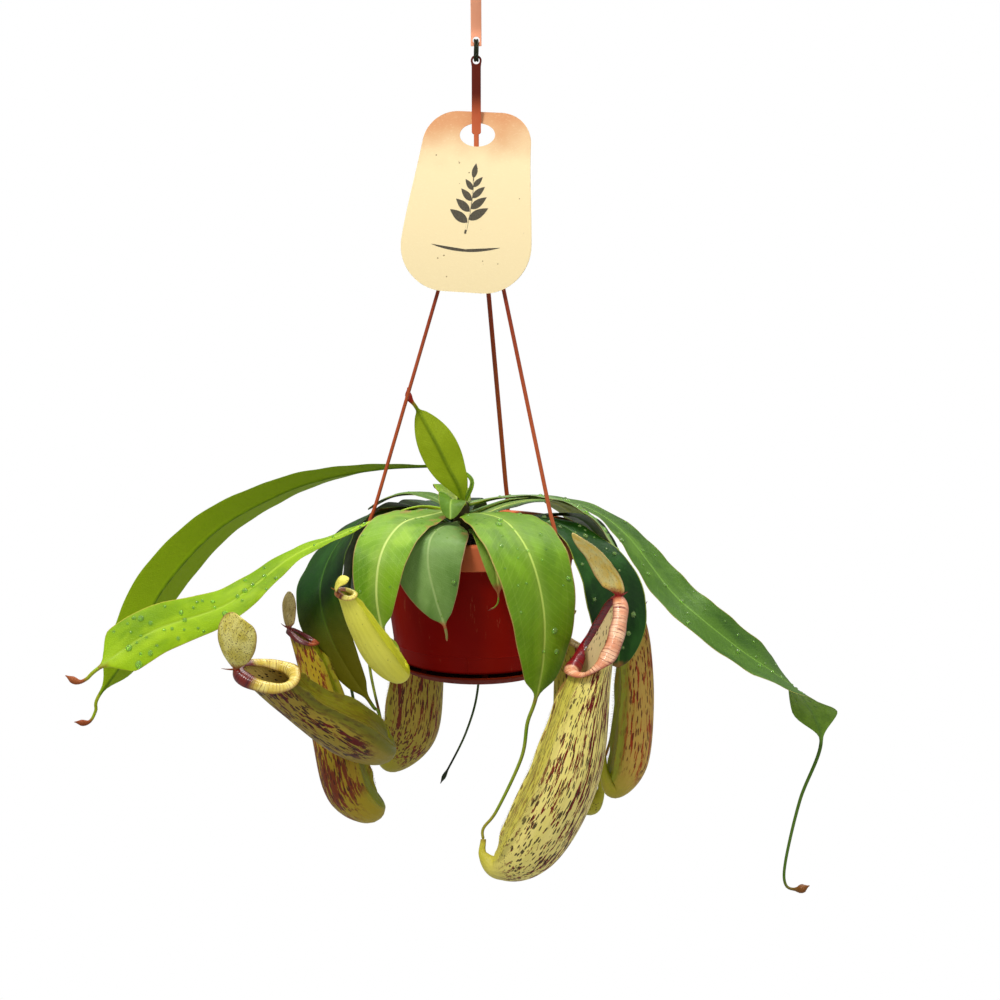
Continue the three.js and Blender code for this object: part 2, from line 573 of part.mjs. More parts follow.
// The leaves, each by where it leaves the stem and the points that its midrib then follows.
const LEAVES = {
  back_left_long: {
    paint: PAINT.brightLeaf, from: [80, 15], tip: 10, width: 46, peak: 0.78, full: 2, fold: 14, curl: 0,
    twist: [0, 20, 40, 50, 55, 60, 60, 60], bud: 2, tail: 7, stations: 12,
    points: [[-4, 18, 30], [-20, 42, 36], [-42, 58, 34], [-73, 72, 30], [-111, 82, 22], [-148, 86, 9],
      [-197, 87, -19], [-237, 79, -62], [-257, 66, -102], [-281, 50, -136], [-284, 49, -148],
      [-289, 47, -156], [-299, 44, -155]],
  },
  left_long: {
    paint: PAINT.brightLeaf, from: [195, 11], tip: 7, width: 34, peak: 0.9, full: 2.2, fold: 6, bud: 2,
    twist: [0, 0, -10, -35, -50, -45], stations: 12,
    points: [[-40, -15, 17], [-64, -35, 13], [-91, -52, 4], [-122, -65, -8], [-164, -82, -37],
      [-210, -99, -51], [-244, -110, -73], [-252, -111, -80], [-258, -111, -82], [-266, -110, -78]],
  },
  left_dark: {
    paint: PAINT.deepLeaf, from: [172, 1], width: 42, peak: 0.55, full: 2, fold: 12, stations: 12,
    twist: [0, 0, -15, -30, -40], carries: PITCHERS.left,
    points: [[-38, 8, 10], [-70, 12, 8], [-95, -6, -8], [-107, -36, -36], [-98, -50, -70], [-72, -56, -112]],
  },
  front_left: {
    paint: PAINT.leaf, from: [222, 13], width: 37, peak: 0.55, full: 1.5, twist: [0, 0, -10], fold: 8,
    tail: 3, carries: PITCHERS.young,
    points: [[-33, -34, 14], [-50, -70, 14], [-61, -97, 0], [-64, -104, -26], [-60, -98, -52]],
  },
  front_round: {
    paint: PAINT.leaf, from: [245, 4], tip: 5, width: 49, peak: 0.54, full: 2.1, twist: [0, 8], fold: 5,
    tail: 2,
    points: [[-23, -44, 8], [-30, -76, 5], [-31, -87, -10], [-26, -90, -32], [-20, -88, -52],
      [-19, -86, -61]],
  },
  small_curled: {
    paint: PAINT.leaf, from: [232, 18], width: 20, peak: 0.5, full: 1.2, fold: 20, stations: 6,
    points: [[-17, -22, 23], [-18, -33, 21], [-18, -39, 12]],
  },
  front_large: {
    paint: PAINT.leaf, from: [298, 9], tip: 6, width: 55, peak: 0.48, full: 1.2, fold: 6, stations: 12,
    carries: PITCHERS.front,
    points: [[6, -36, 15], [22, -74, 15], [36, -102, -2], [44, -111, -34], [44, -109, -68], [39, -105, -96],
      [34, -103, -112], [30, -103, -136], [14, -105, -171]],
  },
  front_narrow: {
    paint: PAINT.leaf, from: [300, -3], tip: 4, width: 22, peak: 0.5, full: 1.8, fold: 16, wave: [1.2, 2],
    points: [[3, -34, 4], [9, -68, 5], [13, -83, -12], [15, -84, -32], [13, -84, -38], [8, -84, -41]],
  },
  top_right: {
    paint: PAINT.leaf, from: [350, 17], width: 38, peak: 0.5, full: 1.4, fold: 8,
    points: [[20, -5, 22], [52, -6, 21], [80, -10, 8], [101, -16, -22], [112, -18, -50]],
  },
  right_dark: {
    paint: PAINT.deepLeaf, from: [325, 5], width: 44, peak: 0.7, full: 1.9, fold: 8,
    twist: [0, 0, 20, 45, 50],
    points: [[22, -22, 10], [48, -30, 10], [70, -40, 0], [88, -56, -22], [96, -63, -52], [96, -60, -86]],
  },
  right_long: {
    paint: PAINT.leaf, from: [25, 9], tip: 10, width: 44, peak: 0.78, full: 1.35, fold: 6, curl: 0, bud: 2,
    tail: 8, stations: 14, twist: [0, 0, 15, 30, 40, 40, 30, 0, -70],
    points: [[22, 17, 16], [50, 32, 15], [80, 34, 7], [106, 22, -10], [136, -6, -45], [157, -22, -62],
      [184, -26, -83], [207, -26, -99], [229, -16, -119], [245, -5, -154], [232, 0, -200], [222, -5, -244],
      [222, -8, -261], [230, -12, -263], [238, -15, -259]],
  },
  young_upright: {
    paint: PAINT.brightLeaf, from: [290, 17], tip: 5, width: 27, peak: 0.55, full: 2, fold: 14, bud: 1.2,
    tail: 4,
    points: [[-13, -13, 31], [-20, -12, 44], [-28, -10, 60], [-36, -5, 74], [-42, -1, 84], [-47, 0, 91],
      [-48, 0, 98]],
  },
  back_left_short: {
    paint: PAINT.leaf, from: [155, 12], width: 28, peak: 0.55, full: 1.4, fold: 10, stations: 8,
    points: [[-36, 12, 20], [-58, 18, 19], [-78, 20, 9]],
  },
  back_small: {
    paint: PAINT.brightLeaf, from: [105, 8], width: 24, peak: 0.55, full: 1.4, fold: 10, stations: 8,
    points: [[-16, 26, 18], [-22, 46, 22], [-28, 62, 16]],
  },
  left_hidden: {
    paint: PAINT.deepLeaf, from: [150, -4], tip: 5, width: 34, peak: 0.55, full: 1.5, fold: 10, tail: 4,
    carries: PITCHERS.low_left,
    points: [[-34, 26, 4], [-60, 48, 5], [-88, 42, -24], [-92, -4, -80], [-86, -27, -122]],
  },
  behind: {
    paint: PAINT.deepLeaf, from: [112, -3], tip: 4, width: 32, peak: 0.55, full: 1.5, fold: 10, tail: 4,
    carries: PITCHERS.behind,
    points: [[-24, 44, 4], [-44, 84, 3], [-68, 106, -24], [-84, 108, -66], [-84, 92, -120]],
  },
  right_hidden: {
    paint: PAINT.deepLeaf, from: [10, -1], tip: 4, width: 34, peak: 0.55, full: 1.5, fold: 10, tail: 5,
    carries: PITCHERS.right,
    points: [[34, 12, 4], [72, 29, 1.5], [92, 41, -26], [100, 37, -68], [92, 24, -110], [84, 6, -144]],
  },
  back_right: {
    paint: PAINT.leaf, from: [45, 3], tip: 4, width: 34, peak: 0.55, full: 1.5, fold: 10, tail: 5,
    carries: PITCHERS.back,
    points: [[24, 34, 10], [56, 66, 6], [82, 88, -22], [96, 92, -72], [105, 82, -120], [100, 62, -168]],
  },
  tail: {
    paint: PAINT.deepLeaf, from: [92, 3], tip: 4, width: 28, peak: 0.5, full: 1.5, fold: 10, tendril: 1,
    bud: 0.8,
    points: [[-12, 42, 10], [-8, 78, 4], [-4, 92, -28], [0, 84, -70], [0, 70, -130], [-9, 66, -168],
      [-29, 64, -209]],
  },
};
for (const [name, spec] of Object.entries(LEAVES)) plant.add(leaf(name, spec));

export default plant;
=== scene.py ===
"""Looks of a hanging pitcher plant: its leaves, pitchers, pot, hanger and tag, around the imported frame.

Sizes are millimetres in the plant's own frame, whose origin is the centre of the pot's rim, +Z up and
-Y towards the viewer. A finished mesh is in metres in the row frame, whose origin is the hook's seat.
"""

import sys
import logging
from collections.abc import Sequence
from dataclasses import dataclass, field, replace
from enum import Enum
from math import acos, atan2, cos, pi, radians, sin, sqrt, tan

import bmesh
import bpy
import numpy as np
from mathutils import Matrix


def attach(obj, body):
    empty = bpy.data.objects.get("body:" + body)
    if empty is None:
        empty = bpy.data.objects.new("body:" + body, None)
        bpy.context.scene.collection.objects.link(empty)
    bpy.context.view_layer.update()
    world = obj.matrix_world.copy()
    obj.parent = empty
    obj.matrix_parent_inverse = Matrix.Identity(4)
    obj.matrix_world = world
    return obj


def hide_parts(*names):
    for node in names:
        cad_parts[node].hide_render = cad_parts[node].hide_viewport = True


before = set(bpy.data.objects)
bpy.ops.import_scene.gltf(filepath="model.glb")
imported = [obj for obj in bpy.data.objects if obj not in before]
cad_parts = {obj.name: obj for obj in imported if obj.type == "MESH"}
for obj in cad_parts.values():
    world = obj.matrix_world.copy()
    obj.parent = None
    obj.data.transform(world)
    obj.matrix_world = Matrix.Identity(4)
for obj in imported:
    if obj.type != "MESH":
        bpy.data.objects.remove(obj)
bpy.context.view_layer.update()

LOG = logging.getLogger("pitcher_plant")
MM = 0.001
RIM_DROP = 385.0  # from the hook's seat down to the top of the pot's rim
GAP = 0.3  # between the frame's solids where they touch

Array = np.ndarray
Point = Sequence[float]
Mesh = bpy.types.Mesh
Thing = bpy.types.Object
Material = bpy.types.Material
Tree = bpy.types.NodeTree


class Slot(Enum):
    """The record's material slots."""

    POT = "pot"
    HANGER = "hanger"
    WIRE = "wire"
    CARD = "card"
    SOIL = "soil"
    STEM = "stem"
    LEAF = "leaf"
    DEEP_LEAF = "deep_leaf"
    BRIGHT_LEAF = "bright_leaf"
    CUP = "cup"
    RED_CUP = "red_cup"
    YOUNG_CUP = "young_cup"
    LIP = "lip"
    RED_LIP = "red_lip"
    LID = "lid"


# Sums with points and lines


def unit(vectors: Array) -> Array:
    """Vectors of length 1 in the same directions."""
    return vectors / np.linalg.norm(vectors, axis=-1, keepdims=True)


def smoothstep(x: Array | float, low: float, high: float) -> Array:
    """A smooth step from 0 at low to 1 at high."""
    t = np.clip((np.asarray(x, float) - low) / (high - low), 0, 1)
    return t * t * (3 - 2 * t)


def lerp(a: Array | float, b: Array | float, t: Array | float) -> Array:
    """The value a share t of the way from a to b."""
    return a + (b - a) * t


def spread(values: Sequence[float], s: Array) -> Array:
    """Reads a list of values spread evenly over 0 to 1."""
    return np.interp(s, np.linspace(0, 1, len(values)), values) if len(values) > 1 else values[0] + 0 * s


def bump_at(x: Array, middle: float, width: float) -> Array:
    """A smooth bump of height 1 round a middle."""
    return np.exp(-(((x - middle) / width) ** 2))


def turns(count: int) -> Array:
    """Angles spread evenly round a circle."""
    return np.linspace(0, 2 * pi, count, endpoint=False)


def triples(x: Array, y: Array, z: Array) -> Array:
    """Three arrays that fit each other as one, with three numbers at each place."""
    return np.stack(np.broadcast_arrays(x, y, z), axis=-1)


def level(outline: Array, height: float) -> Array:
    """An outline laid flat at a height."""
    return np.column_stack([outline, np.full(len(outline), height)])


def about_z(angle: float) -> Array:
    """The matrix that turns about the Z axis."""
    c, s = cos(angle), sin(angle)
    return np.array([[c, -s, 0], [s, c, 0], [0, 0, 1]])


def run_of(points: Array) -> Array:
    """The length of a line up to each of its points."""
    return np.concatenate([[0], np.cumsum(np.linalg.norm(np.diff(points, axis=0), axis=1))])


@dataclass(frozen=True)
class Path:
    """A smooth line through points, with its arc length.

    Args:
        points: the points, a row each.
        clamped: whether the end slopes fade as if the end points were doubled.
    """

    points: Array
    clamped: bool = False

    def _ends(self) -> Array:
        """The points with one more at either end."""
        p = self.points
        before, after = (p[0], p[-1]) if self.clamped else (2 * p[0] - p[1], 2 * p[-1] - p[-2])
        return np.vstack([before, p, after])

    def at(self, u: Array) -> Array:
        """Points at shares u of the number of spans."""
        row = self._ends()
        x = np.clip(u, 0, 1) * (len(self.points) - 1)
        i = np.minimum(x.astype(int), len(self.points) - 2)
        w = (x - i)[:, None]
        a, b, c, d = (row[i + k] for k in range(4))
        t0, t1 = (c - a) / 2, (d - b) / 2
        return b + t0 * w + (3 * (c - b) - 2 * t0 - t1) * w**2 + (2 * (b - c) + t0 + t1) * w**3

    def tangents(self, u: Array) -> Array:
        """Directions at shares u of the number of spans."""
        step = 1e-4
        return unit(self.at(np.minimum(u + step, 1)) - self.at(np.maximum(u - step, 0)))

    def lengths(self) -> tuple[Array, Array]:
        """Shares of the spans, and the length of line up to each."""
        u = np.linspace(0, 1, 60 * (len(self.points) - 1) + 1)
        return u, run_of(self.at(u))

    def even(self, shares: Array) -> Array:
        """Turns shares of the length into shares of the spans."""
        u, run = self.lengths()
        return np.interp(shares * run[-1], run, u)


def carry(points: Array, tangents: Array, first: Array) -> Array:
    """Carries a normal along a line without spin.

    Args:
        points: the line's points.
        tangents: its directions there.
        first: about the normal wanted at the first point.

    Returns:
        A normal at each point.
    """
    least = 1e-12
    normals = [unit(first - tangents[0] * (first @ tangents[0]))]
    for i in range(1, len(points)):
        step = points[i] - points[i - 1]
        c = max(step @ step, least)
        n = normals[-1] - step * (2 / c) * (step @ normals[-1])
        t = tangents[i - 1] - step * (2 / c) * (step @ tangents[i - 1])
        turn = tangents[i] - t
        if turn @ turn > least:
            n = n - turn * (2 / (turn @ turn)) * (turn @ n)
        normals.append(unit(n - tangents[i] * (n @ tangents[i])))
    return np.array(normals)


# Meshes under construction


@dataclass
class Shell:
    """A closed skin under construction.

    Args:
        points: in millimetres, a row each.
        faces: the points of each face.
        values: what the finishes read at each point, three numbers a row.
    """

    points: Array
    faces: list[tuple[int, ...]]
    values: dict[str, Array] = field(default_factory=dict)

    def __post_init__(self) -> None:
        """Turns the faces outwards."""
        if self._volume() < 0:
            self.faces = [face[::-1] for face in self.faces]

    def _volume(self) -> float:
        """Six times the volume, below 0 where the faces look inwards."""
        total = 0.0
        for size in {len(face) for face in self.faces}:
            corner = self.points[np.array([face for face in self.faces if len(face) == size])]
            for k in range(1, size - 1):
                total += np.einsum("ij,ij->", corner[:, 0], np.cross(corner[:, k], corner[:, k + 1]))
        return total

    def moved(self, turn: Array, shift: Point) -> "Shell":
        """The same shell turned and then shifted."""
        return replace(self, points=self.points @ np.asarray(turn).T + np.asarray(shift))


def joined(shells: Sequence[Shell]) -> Shell:
    """Puts shells together in one, side by side or sunk into each other.

    Args:
        shells: what is joined.

    Returns:
        The whole.
    """
    faces, start = [], 0
    for shell in shells:
        faces += [tuple(start + i for i in face) for face in shell.faces]
        start += len(shell.points)
    names = dict.fromkeys(name for shell in shells for name in shell.values)
    none = np.zeros((1, 3))
    values = {}
    for name in names:
        values[name] = np.vstack([s.values.get(name, none.repeat(len(s.points), 0)) for s in shells])
    return Shell(np.vstack([shell.points for shell in shells]), faces, values)


def loft(rings: Array, values: dict[str, Array] | None = None, loop: bool = False) -> Shell:
    """Closes a row of rings into one skin.

    Args:
        rings: points by ring and place in the ring.
        values: what the finishes read there, laid out alike.
        loop: whether the last ring meets the first, instead of both being capped.

    Returns:
        The skin.
    """
    rings = np.asarray(rings, float)
    count, n = rings.shape[:2]
    points = rings.reshape(-1, 3)
    kept = {name: np.asarray(v, float).reshape(-1, 3) for name, v in (values or {}).items()}
    j = np.arange(n)
    k = (j + 1) % n
    faces: list[tuple[int, ...]] = []
    for i in range(count if loop else count - 1):
        a, b = i * n, ((i + 1) % count) * n
        faces += list(zip((a + j).tolist(), (a + k).tolist(), (b + k).tolist(), (b + j).tolist()))
    if not loop:
        for start in (0, (count - 1) * n):
            centre = len(points)
            points = np.vstack([points, points[start : start + n].mean(0)])
            kept = {name: np.vstack([v, v[start : start + n].mean(0)]) for name, v in kept.items()}
            ends = zip((start + k).tolist(), (start + j).tolist())
            faces += [(centre, b, a) if start == 0 else (centre, a, b) for b, a in ends]
    return Shell(points, faces, kept)


def turned(profile: Array, segments: int) -> Shell:
    """A shape turned about the Z axis from radius and height; the profile starts and ends on the axis."""
    radius, height = profile[1:-1, :1], profile[1:-1, 1:]
    angles = turns(segments)
    return loft(triples(radius * np.cos(angles), radius * np.sin(angles), height))


def filleted(corners: Sequence[Point], radius: float, steps: int = 4) -> Array:
    """A line with its inner corners rounded.

    Args:
        corners: the line's corners in two dimensions.
        radius: of the rounding, less where a side is short.
        steps: how many straight steps each rounding has.

    Returns:
        The line's points.
    """
    p = np.array(corners, float)
    line = [p[0]]
    for a, b, c in zip(p, p[1:], p[2:]):
        cut_back = min(radius, 0.45 * np.linalg.norm(b - a), 0.45 * np.linalg.norm(c - b))
        start, end = b + unit(a - b) * cut_back, b + unit(c - b) * cut_back
        t = np.linspace(0, 1, steps + 1)[:, None]
        line += list((1 - t) ** 2 * start + 2 * t * (1 - t) * b + t**2 * end)
    return np.array([*line, p[-1]])


def rounded_box(wide: float, deep: float, radius: float, steps: int = 3) -> Array:
    """The outline of a rectangle with round corners, in two dimensions, round its centre.

    Args:
        wide: its width.
        deep: its depth.
        radius: of its corners.
        steps: how many straight steps each corner has.

    Returns:
        The points.
    """
    x, y = wide / 2 - radius, deep / 2 - radius
    quarter = np.linspace(0, pi / 2, steps + 1)
    arcs = []
    for k, (sx, sy) in enumerate(((1, 1), (-1, 1), (-1, -1), (1, -1))):
        a = quarter + k * pi / 2
        arcs.append(np.stack([sx * x + radius * np.cos(a), sy * y + radius * np.sin(a)], 1))
    return np.vstack(arcs)


def swept(points: Array, section: Array, up: Point, sizes: Array | float = 1.0) -> Shell:
    """A section carried along a line.

    Args:
        points: the line.
        section: the section's outline, across and up.
        up: about the section's up at the start.
        sizes: the section's size at each point of the line.

    Returns:
        The bar.
    """
    tangents = unit(np.gradient(points, axis=0))
    ups = carry(points, tangents, np.array(up, float))[:, None]
    sides = np.cross(tangents[:, None], ups)
    size = np.broadcast_to(sizes, len(points))[:, None, None]
    return loft(points[:, None] + size * (section[None, :, :1] * sides + section[None, :, 1:] * ups))


# Finishes


Socket = bpy.types.NodeSocket
Feed = Socket | float | int | bool | tuple | str
Feeds = dict[str | int, Feed]


def tone(colour: Feed) -> Feed:
    """A colour written as six hexadecimal digits, as the linear numbers that shaders take."""
    if not isinstance(colour, str):
        return colour
    parts = [int(colour[i : i + 2], 16) / 255 for i in (1, 3, 5)]
    return (*[p / 12.92 if p <= 0.04045 else ((p + 0.055) / 1.055) ** 2.4 for p in parts], 1.0)


class Graph:
    """Adds nodes to a node tree and links them.

    Args:
        tree: the node tree.
    """

    def __init__(self, tree: Tree) -> None:
        """Keeps the tree."""
        self.tree = tree

    def add(self, kind: str, feeds: Feeds | None = None, **settings: object) -> bpy.types.Node:
        """Adds a node.

        Args:
            kind: the node's type.
            feeds: a value or a socket for each of its inputs, by name or number.
            settings: its own properties.

        Returns:
            The node.
        """
        node = self.tree.nodes.new(kind)
        for name, value in settings.items():
            setattr(node, name, value)
        for name, value in (feeds or {}).items():
            if isinstance(value, Socket):
                self.tree.links.new(value, node.inputs[name])
            else:
                node.inputs[name].default_value = value
        return node

    def out(self, kind: str, feeds: Feeds | None = None, **settings: object) -> Socket:
        """The first output of a new node."""
        return self.add(kind, feeds, **settings).outputs[0]

    def math(self, operation: str, a: Feed, b: Feed = 0.0) -> Socket:
        """The result of a sum."""
        return self.out("ShaderNodeMath", {0: a, 1: b}, operation=operation)

    def plus(self, a: Feed, b: Feed) -> Socket:
        """Two numbers added."""
        return self.math("ADD", a, b)

    def less(self, a: Feed, b: Feed) -> Socket:
        """A number less another."""
        return self.math("SUBTRACT", a, b)

    def times(self, a: Feed, b: Feed) -> Socket:
        """Two numbers multiplied."""
        return self.math("MULTIPLY", a, b)

    def split(self, vector: Socket) -> tuple[Socket, ...]:
        """The three parts of a vector."""
        return tuple(self.add("ShaderNodeSeparateXYZ", {0: vector}).outputs)


class Paint(Graph):
    """A material's nodes.

    Args:
        name: the material's name.
        seed: moves every random pattern.
    """

    def __init__(self, name: str, seed: float = 0.0) -> None:
        """Makes the empty material."""
        self.material = bpy.data.materials.new(name)
        self.material.use_nodes = True
        self.material.node_tree.nodes.clear()
        self.seed = seed
        super().__init__(self.material.node_tree)

    def step(self, value: Socket, low: float, high: float, top: float = 1.0) -> Socket:
        """A smooth step from 0 at low to top at high, or down where low is above high.

        Args:
            value: what is read.
            low: where the step is 0.
            high: where it is whole.
            top: how high it goes.

        Returns:
            The step.
        """
        start, end = (top, 0.0) if low > high else (0.0, top)
        ends = {"From Min": min(low, high), "From Max": max(low, high), "To Min": start, "To Max": end}
        node = self.add("ShaderNodeMapRange", {"Value": value, **ends}, interpolation_type="SMOOTHSTEP")
        return node.outputs[0]

    def values(self, name: str) -> Socket:
        """The three numbers that a mesh keeps under a name."""
        return self.add("ShaderNodeAttribute", attribute_name=name).outputs["Vector"]

    def places(self) -> Socket:
        """The place on the object, in metres."""
        return self.add("ShaderNodeTexCoord").outputs["Object"]

    def scaled(self, vector: Socket, scale: Point) -> Socket:
        """A vector stretched, and moved by the seed."""
        feeds = {"Vector": vector, "Scale": tuple(scale), "Location": (self.seed, -self.seed, 2 * self.seed)}
        return self.out("ShaderNodeMapping", feeds)

    def noise(self, vector: Socket, scale: Point, detail: float = 2, rough: float = 0.5) -> Socket:
        """Soft noise from 0 to 1 with so many bumps a unit along each axis."""
        feeds = {"Vector": self.scaled(vector, scale), "Scale": 1.0, "Detail": detail, "Roughness": rough}
        return self.out("ShaderNodeTexNoise", feeds)

    def cells(self, vector: Socket, scale: Point) -> Socket:
        """The distance to the nearest of scattered points, so many a unit."""
        feeds = {"Vector": self.scaled(vector, scale), "Scale": 1.0}
        return self.add("ShaderNodeTexVoronoi", feeds).outputs["Distance"]

    def mix(self, share: Feed, a: Feed, b: Feed) -> Socket:
        """A colour a share of the way from a to b."""
        return self.add("ShaderNodeMix", {0: share, 6: tone(a), 7: tone(b)}, data_type="RGBA").outputs[2]

    def layers(self, ground: Feed, *layers: tuple[Feed, Feed]) -> Socket:
        """A ground colour with others laid over it in turn.

        Args:
            ground: the colour below.
            layers: the share and the colour of each.

        Returns:
            The colour.
        """
        for share, colour in layers:
            ground = self.mix(share, ground, colour)
        return ground

    def bump(self, height: Socket, depth: float) -> Socket:
        """A normal tilted by a height from 0 to 1 that is so many millimetres deep."""
        return self.out("ShaderNodeBump", {"Height": height, "Strength": 1.0, "Distance": depth * MM})

    def finish(self, colour: Feed, rough: Feed, **more: Feed) -> Material:
        """Closes the material.

        Args:
            colour: the base colour.
            rough: the roughness.
            more: more inputs of the shader, with spaces as underscores.

        Returns:
            The material.
        """
        feeds = {name.replace("_", " "): value for name, value in more.items()}
        shader = self.add("ShaderNodeBsdfPrincipled", {**feeds, "Base Color": colour, "Roughness": rough})
        self.add("ShaderNodeOutputMaterial", {"Surface": shader.outputs[0]})
        return self.material


@dataclass(frozen=True)
class LeafFinish:
    """A waxy leaf with its midrib, veins and margin, and the tendril it runs on into.

    The mesh keeps share (place along from 0 to 1 and on to 2 at the tendril's end, place across from
    -1 to 1, 1 above and -1 below) and blade (millimetres along and across).

    Args:
        main: the usual colour above.
        pale: of its lighter patches.
        deep: of its darker patches.
        under: of the underside.
        rib: of the midrib.
        margin: of the edge.
        tip: of the blade's tip.
        tendril: of the tendril.
        bud: of the tendril's end.
        bud_from: where along the tendril that colour starts, from 1 to 2.
        rib_width: of the midrib's line, millimetres.
        halo: how much the midrib's colour spreads.
        veins: how strongly the side veins show.
        blush: how much of the margin is scarred.
        tip_from: where along the blade the tip's colour starts.
        tip_blend: how softly it starts.
        rough: the roughness.
        gloss: how strongly it reflects.
        seed: moves the patches.
        scar: of the margin's scars.
    """

    main: str = "#6f9010"
    pale: str = "#94ad2a"
    deep: str = "#4c6f08"
    under: str = "#869c1c"
    rib: str = "#c4ce62"
    margin: str = "#a8a048"
    tip: str = "#8a5a2c"
    tendril: str = "#8b962a"
    bud: str = "#7a3214"
    bud_from: float = 1.72
    rib_width: float = 1.0
    halo: float = 0.16
    veins: float = 0.07
    blush: float = 0.0
    tip_from: float = 0.97
    tip_blend: float = 0.04
    rough: float = 0.4
    gloss: float = 0.24
    seed: float = 0.0
    scar: str = "#b0724a"

    def material(self, name: str) -> Material:
        """Builds the material under a name."""
        p = Paint(name, self.seed)
        blade = p.values("blade")
        run, across, _ = p.split(blade)
        s, v, face = p.split(p.values("share"))
        off, edge = p.math("ABSOLUTE", across), p.math("ABSOLUTE", v)
        patches = p.noise(blade, (0.022, 0.05, 0), 3)
        mottle = p.noise(blade, (0.14, 0.22, 0), 4, 0.6)
        # Side veins run out from the midrib and forwards, and two long ones follow each margin.
        wander = p.times(p.noise(blade, (0.05, 0.05, 0), 2), 9.0)
        beat = p.math("SINE", p.times(p.plus(p.less(run, p.times(off, 0.9)), wander), 2 * pi / 5.5))
        side = p.step(beat, 0.72, 1.0, self.veins)
        long = p.step(p.math("ABSOLUTE", p.less(edge, 0.74)), 0.02, 0.0, 1.4 * self.veins)
        torn = p.step(p.noise(blade, (0.1, 0.2, 7), 4, 0.65), 0.5, 0.6)
        scarred = p.times(p.times(p.step(edge, 0.3, 0.9), torn), p.step(s, 0.55, 0.25))
        ragged = p.plus(s, p.times(p.less(mottle, 0.5), 0.06))
        below = p.layers(
            self.under,
            (p.step(off, 2.2 * self.rib_width, 0.4, 0.8), self.rib),
            (p.step(mottle, 0.35, 0.7, 0.4), self.main),
        )
        runner = p.mix(p.step(p.noise(blade, (0.06, 0.3, 1), 3), 0.4, 0.7), self.tendril, self.main)
        colour = p.layers(
            self.deep,
            (p.step(patches, 0.35, 0.62), self.main),
            (p.step(p.noise(blade, (0.035, 0.07, 3), 2), 0.5, 0.72, 0.8), self.pale),
            (p.step(mottle, 0.52, 0.8, 0.35), self.pale),
            (p.step(mottle, 0.45, 0.2, 0.4), self.deep),
            (side, self.rib),
            (long, self.rib),
            (p.step(off, 7 * self.rib_width, 0.3, self.halo), self.rib),
            (p.step(off, self.rib_width, 0.35 * self.rib_width, 0.9), self.rib),
            (p.times(scarred, self.blush), self.scar),
            (p.step(edge, 0.955, 0.99, 0.85), self.margin),
            (p.step(ragged, self.tip_from, self.tip_from + self.tip_blend), self.tip),
            (p.step(face, 0.2, -0.2), below),
            (p.step(s, 0.985, 1.03), runner),
            (p.step(s, self.bud_from, self.bud_from + 0.16), self.bud),
        )
        rough = p.plus(p.step(mottle, 0.3, 0.8, 0.14), self.rough)
        ridges = p.plus(p.times(side, 1.5), p.step(p.noise(blade, (1.1, 1.6, 0), 3), 0.3, 0.7, 0.25))
        dents = p.bump(p.plus(ridges, p.times(patches, 1.2)), 0.3)
        return p.finish(colour, rough, Normal=dents, Specular_IOR_Level=self.gloss)


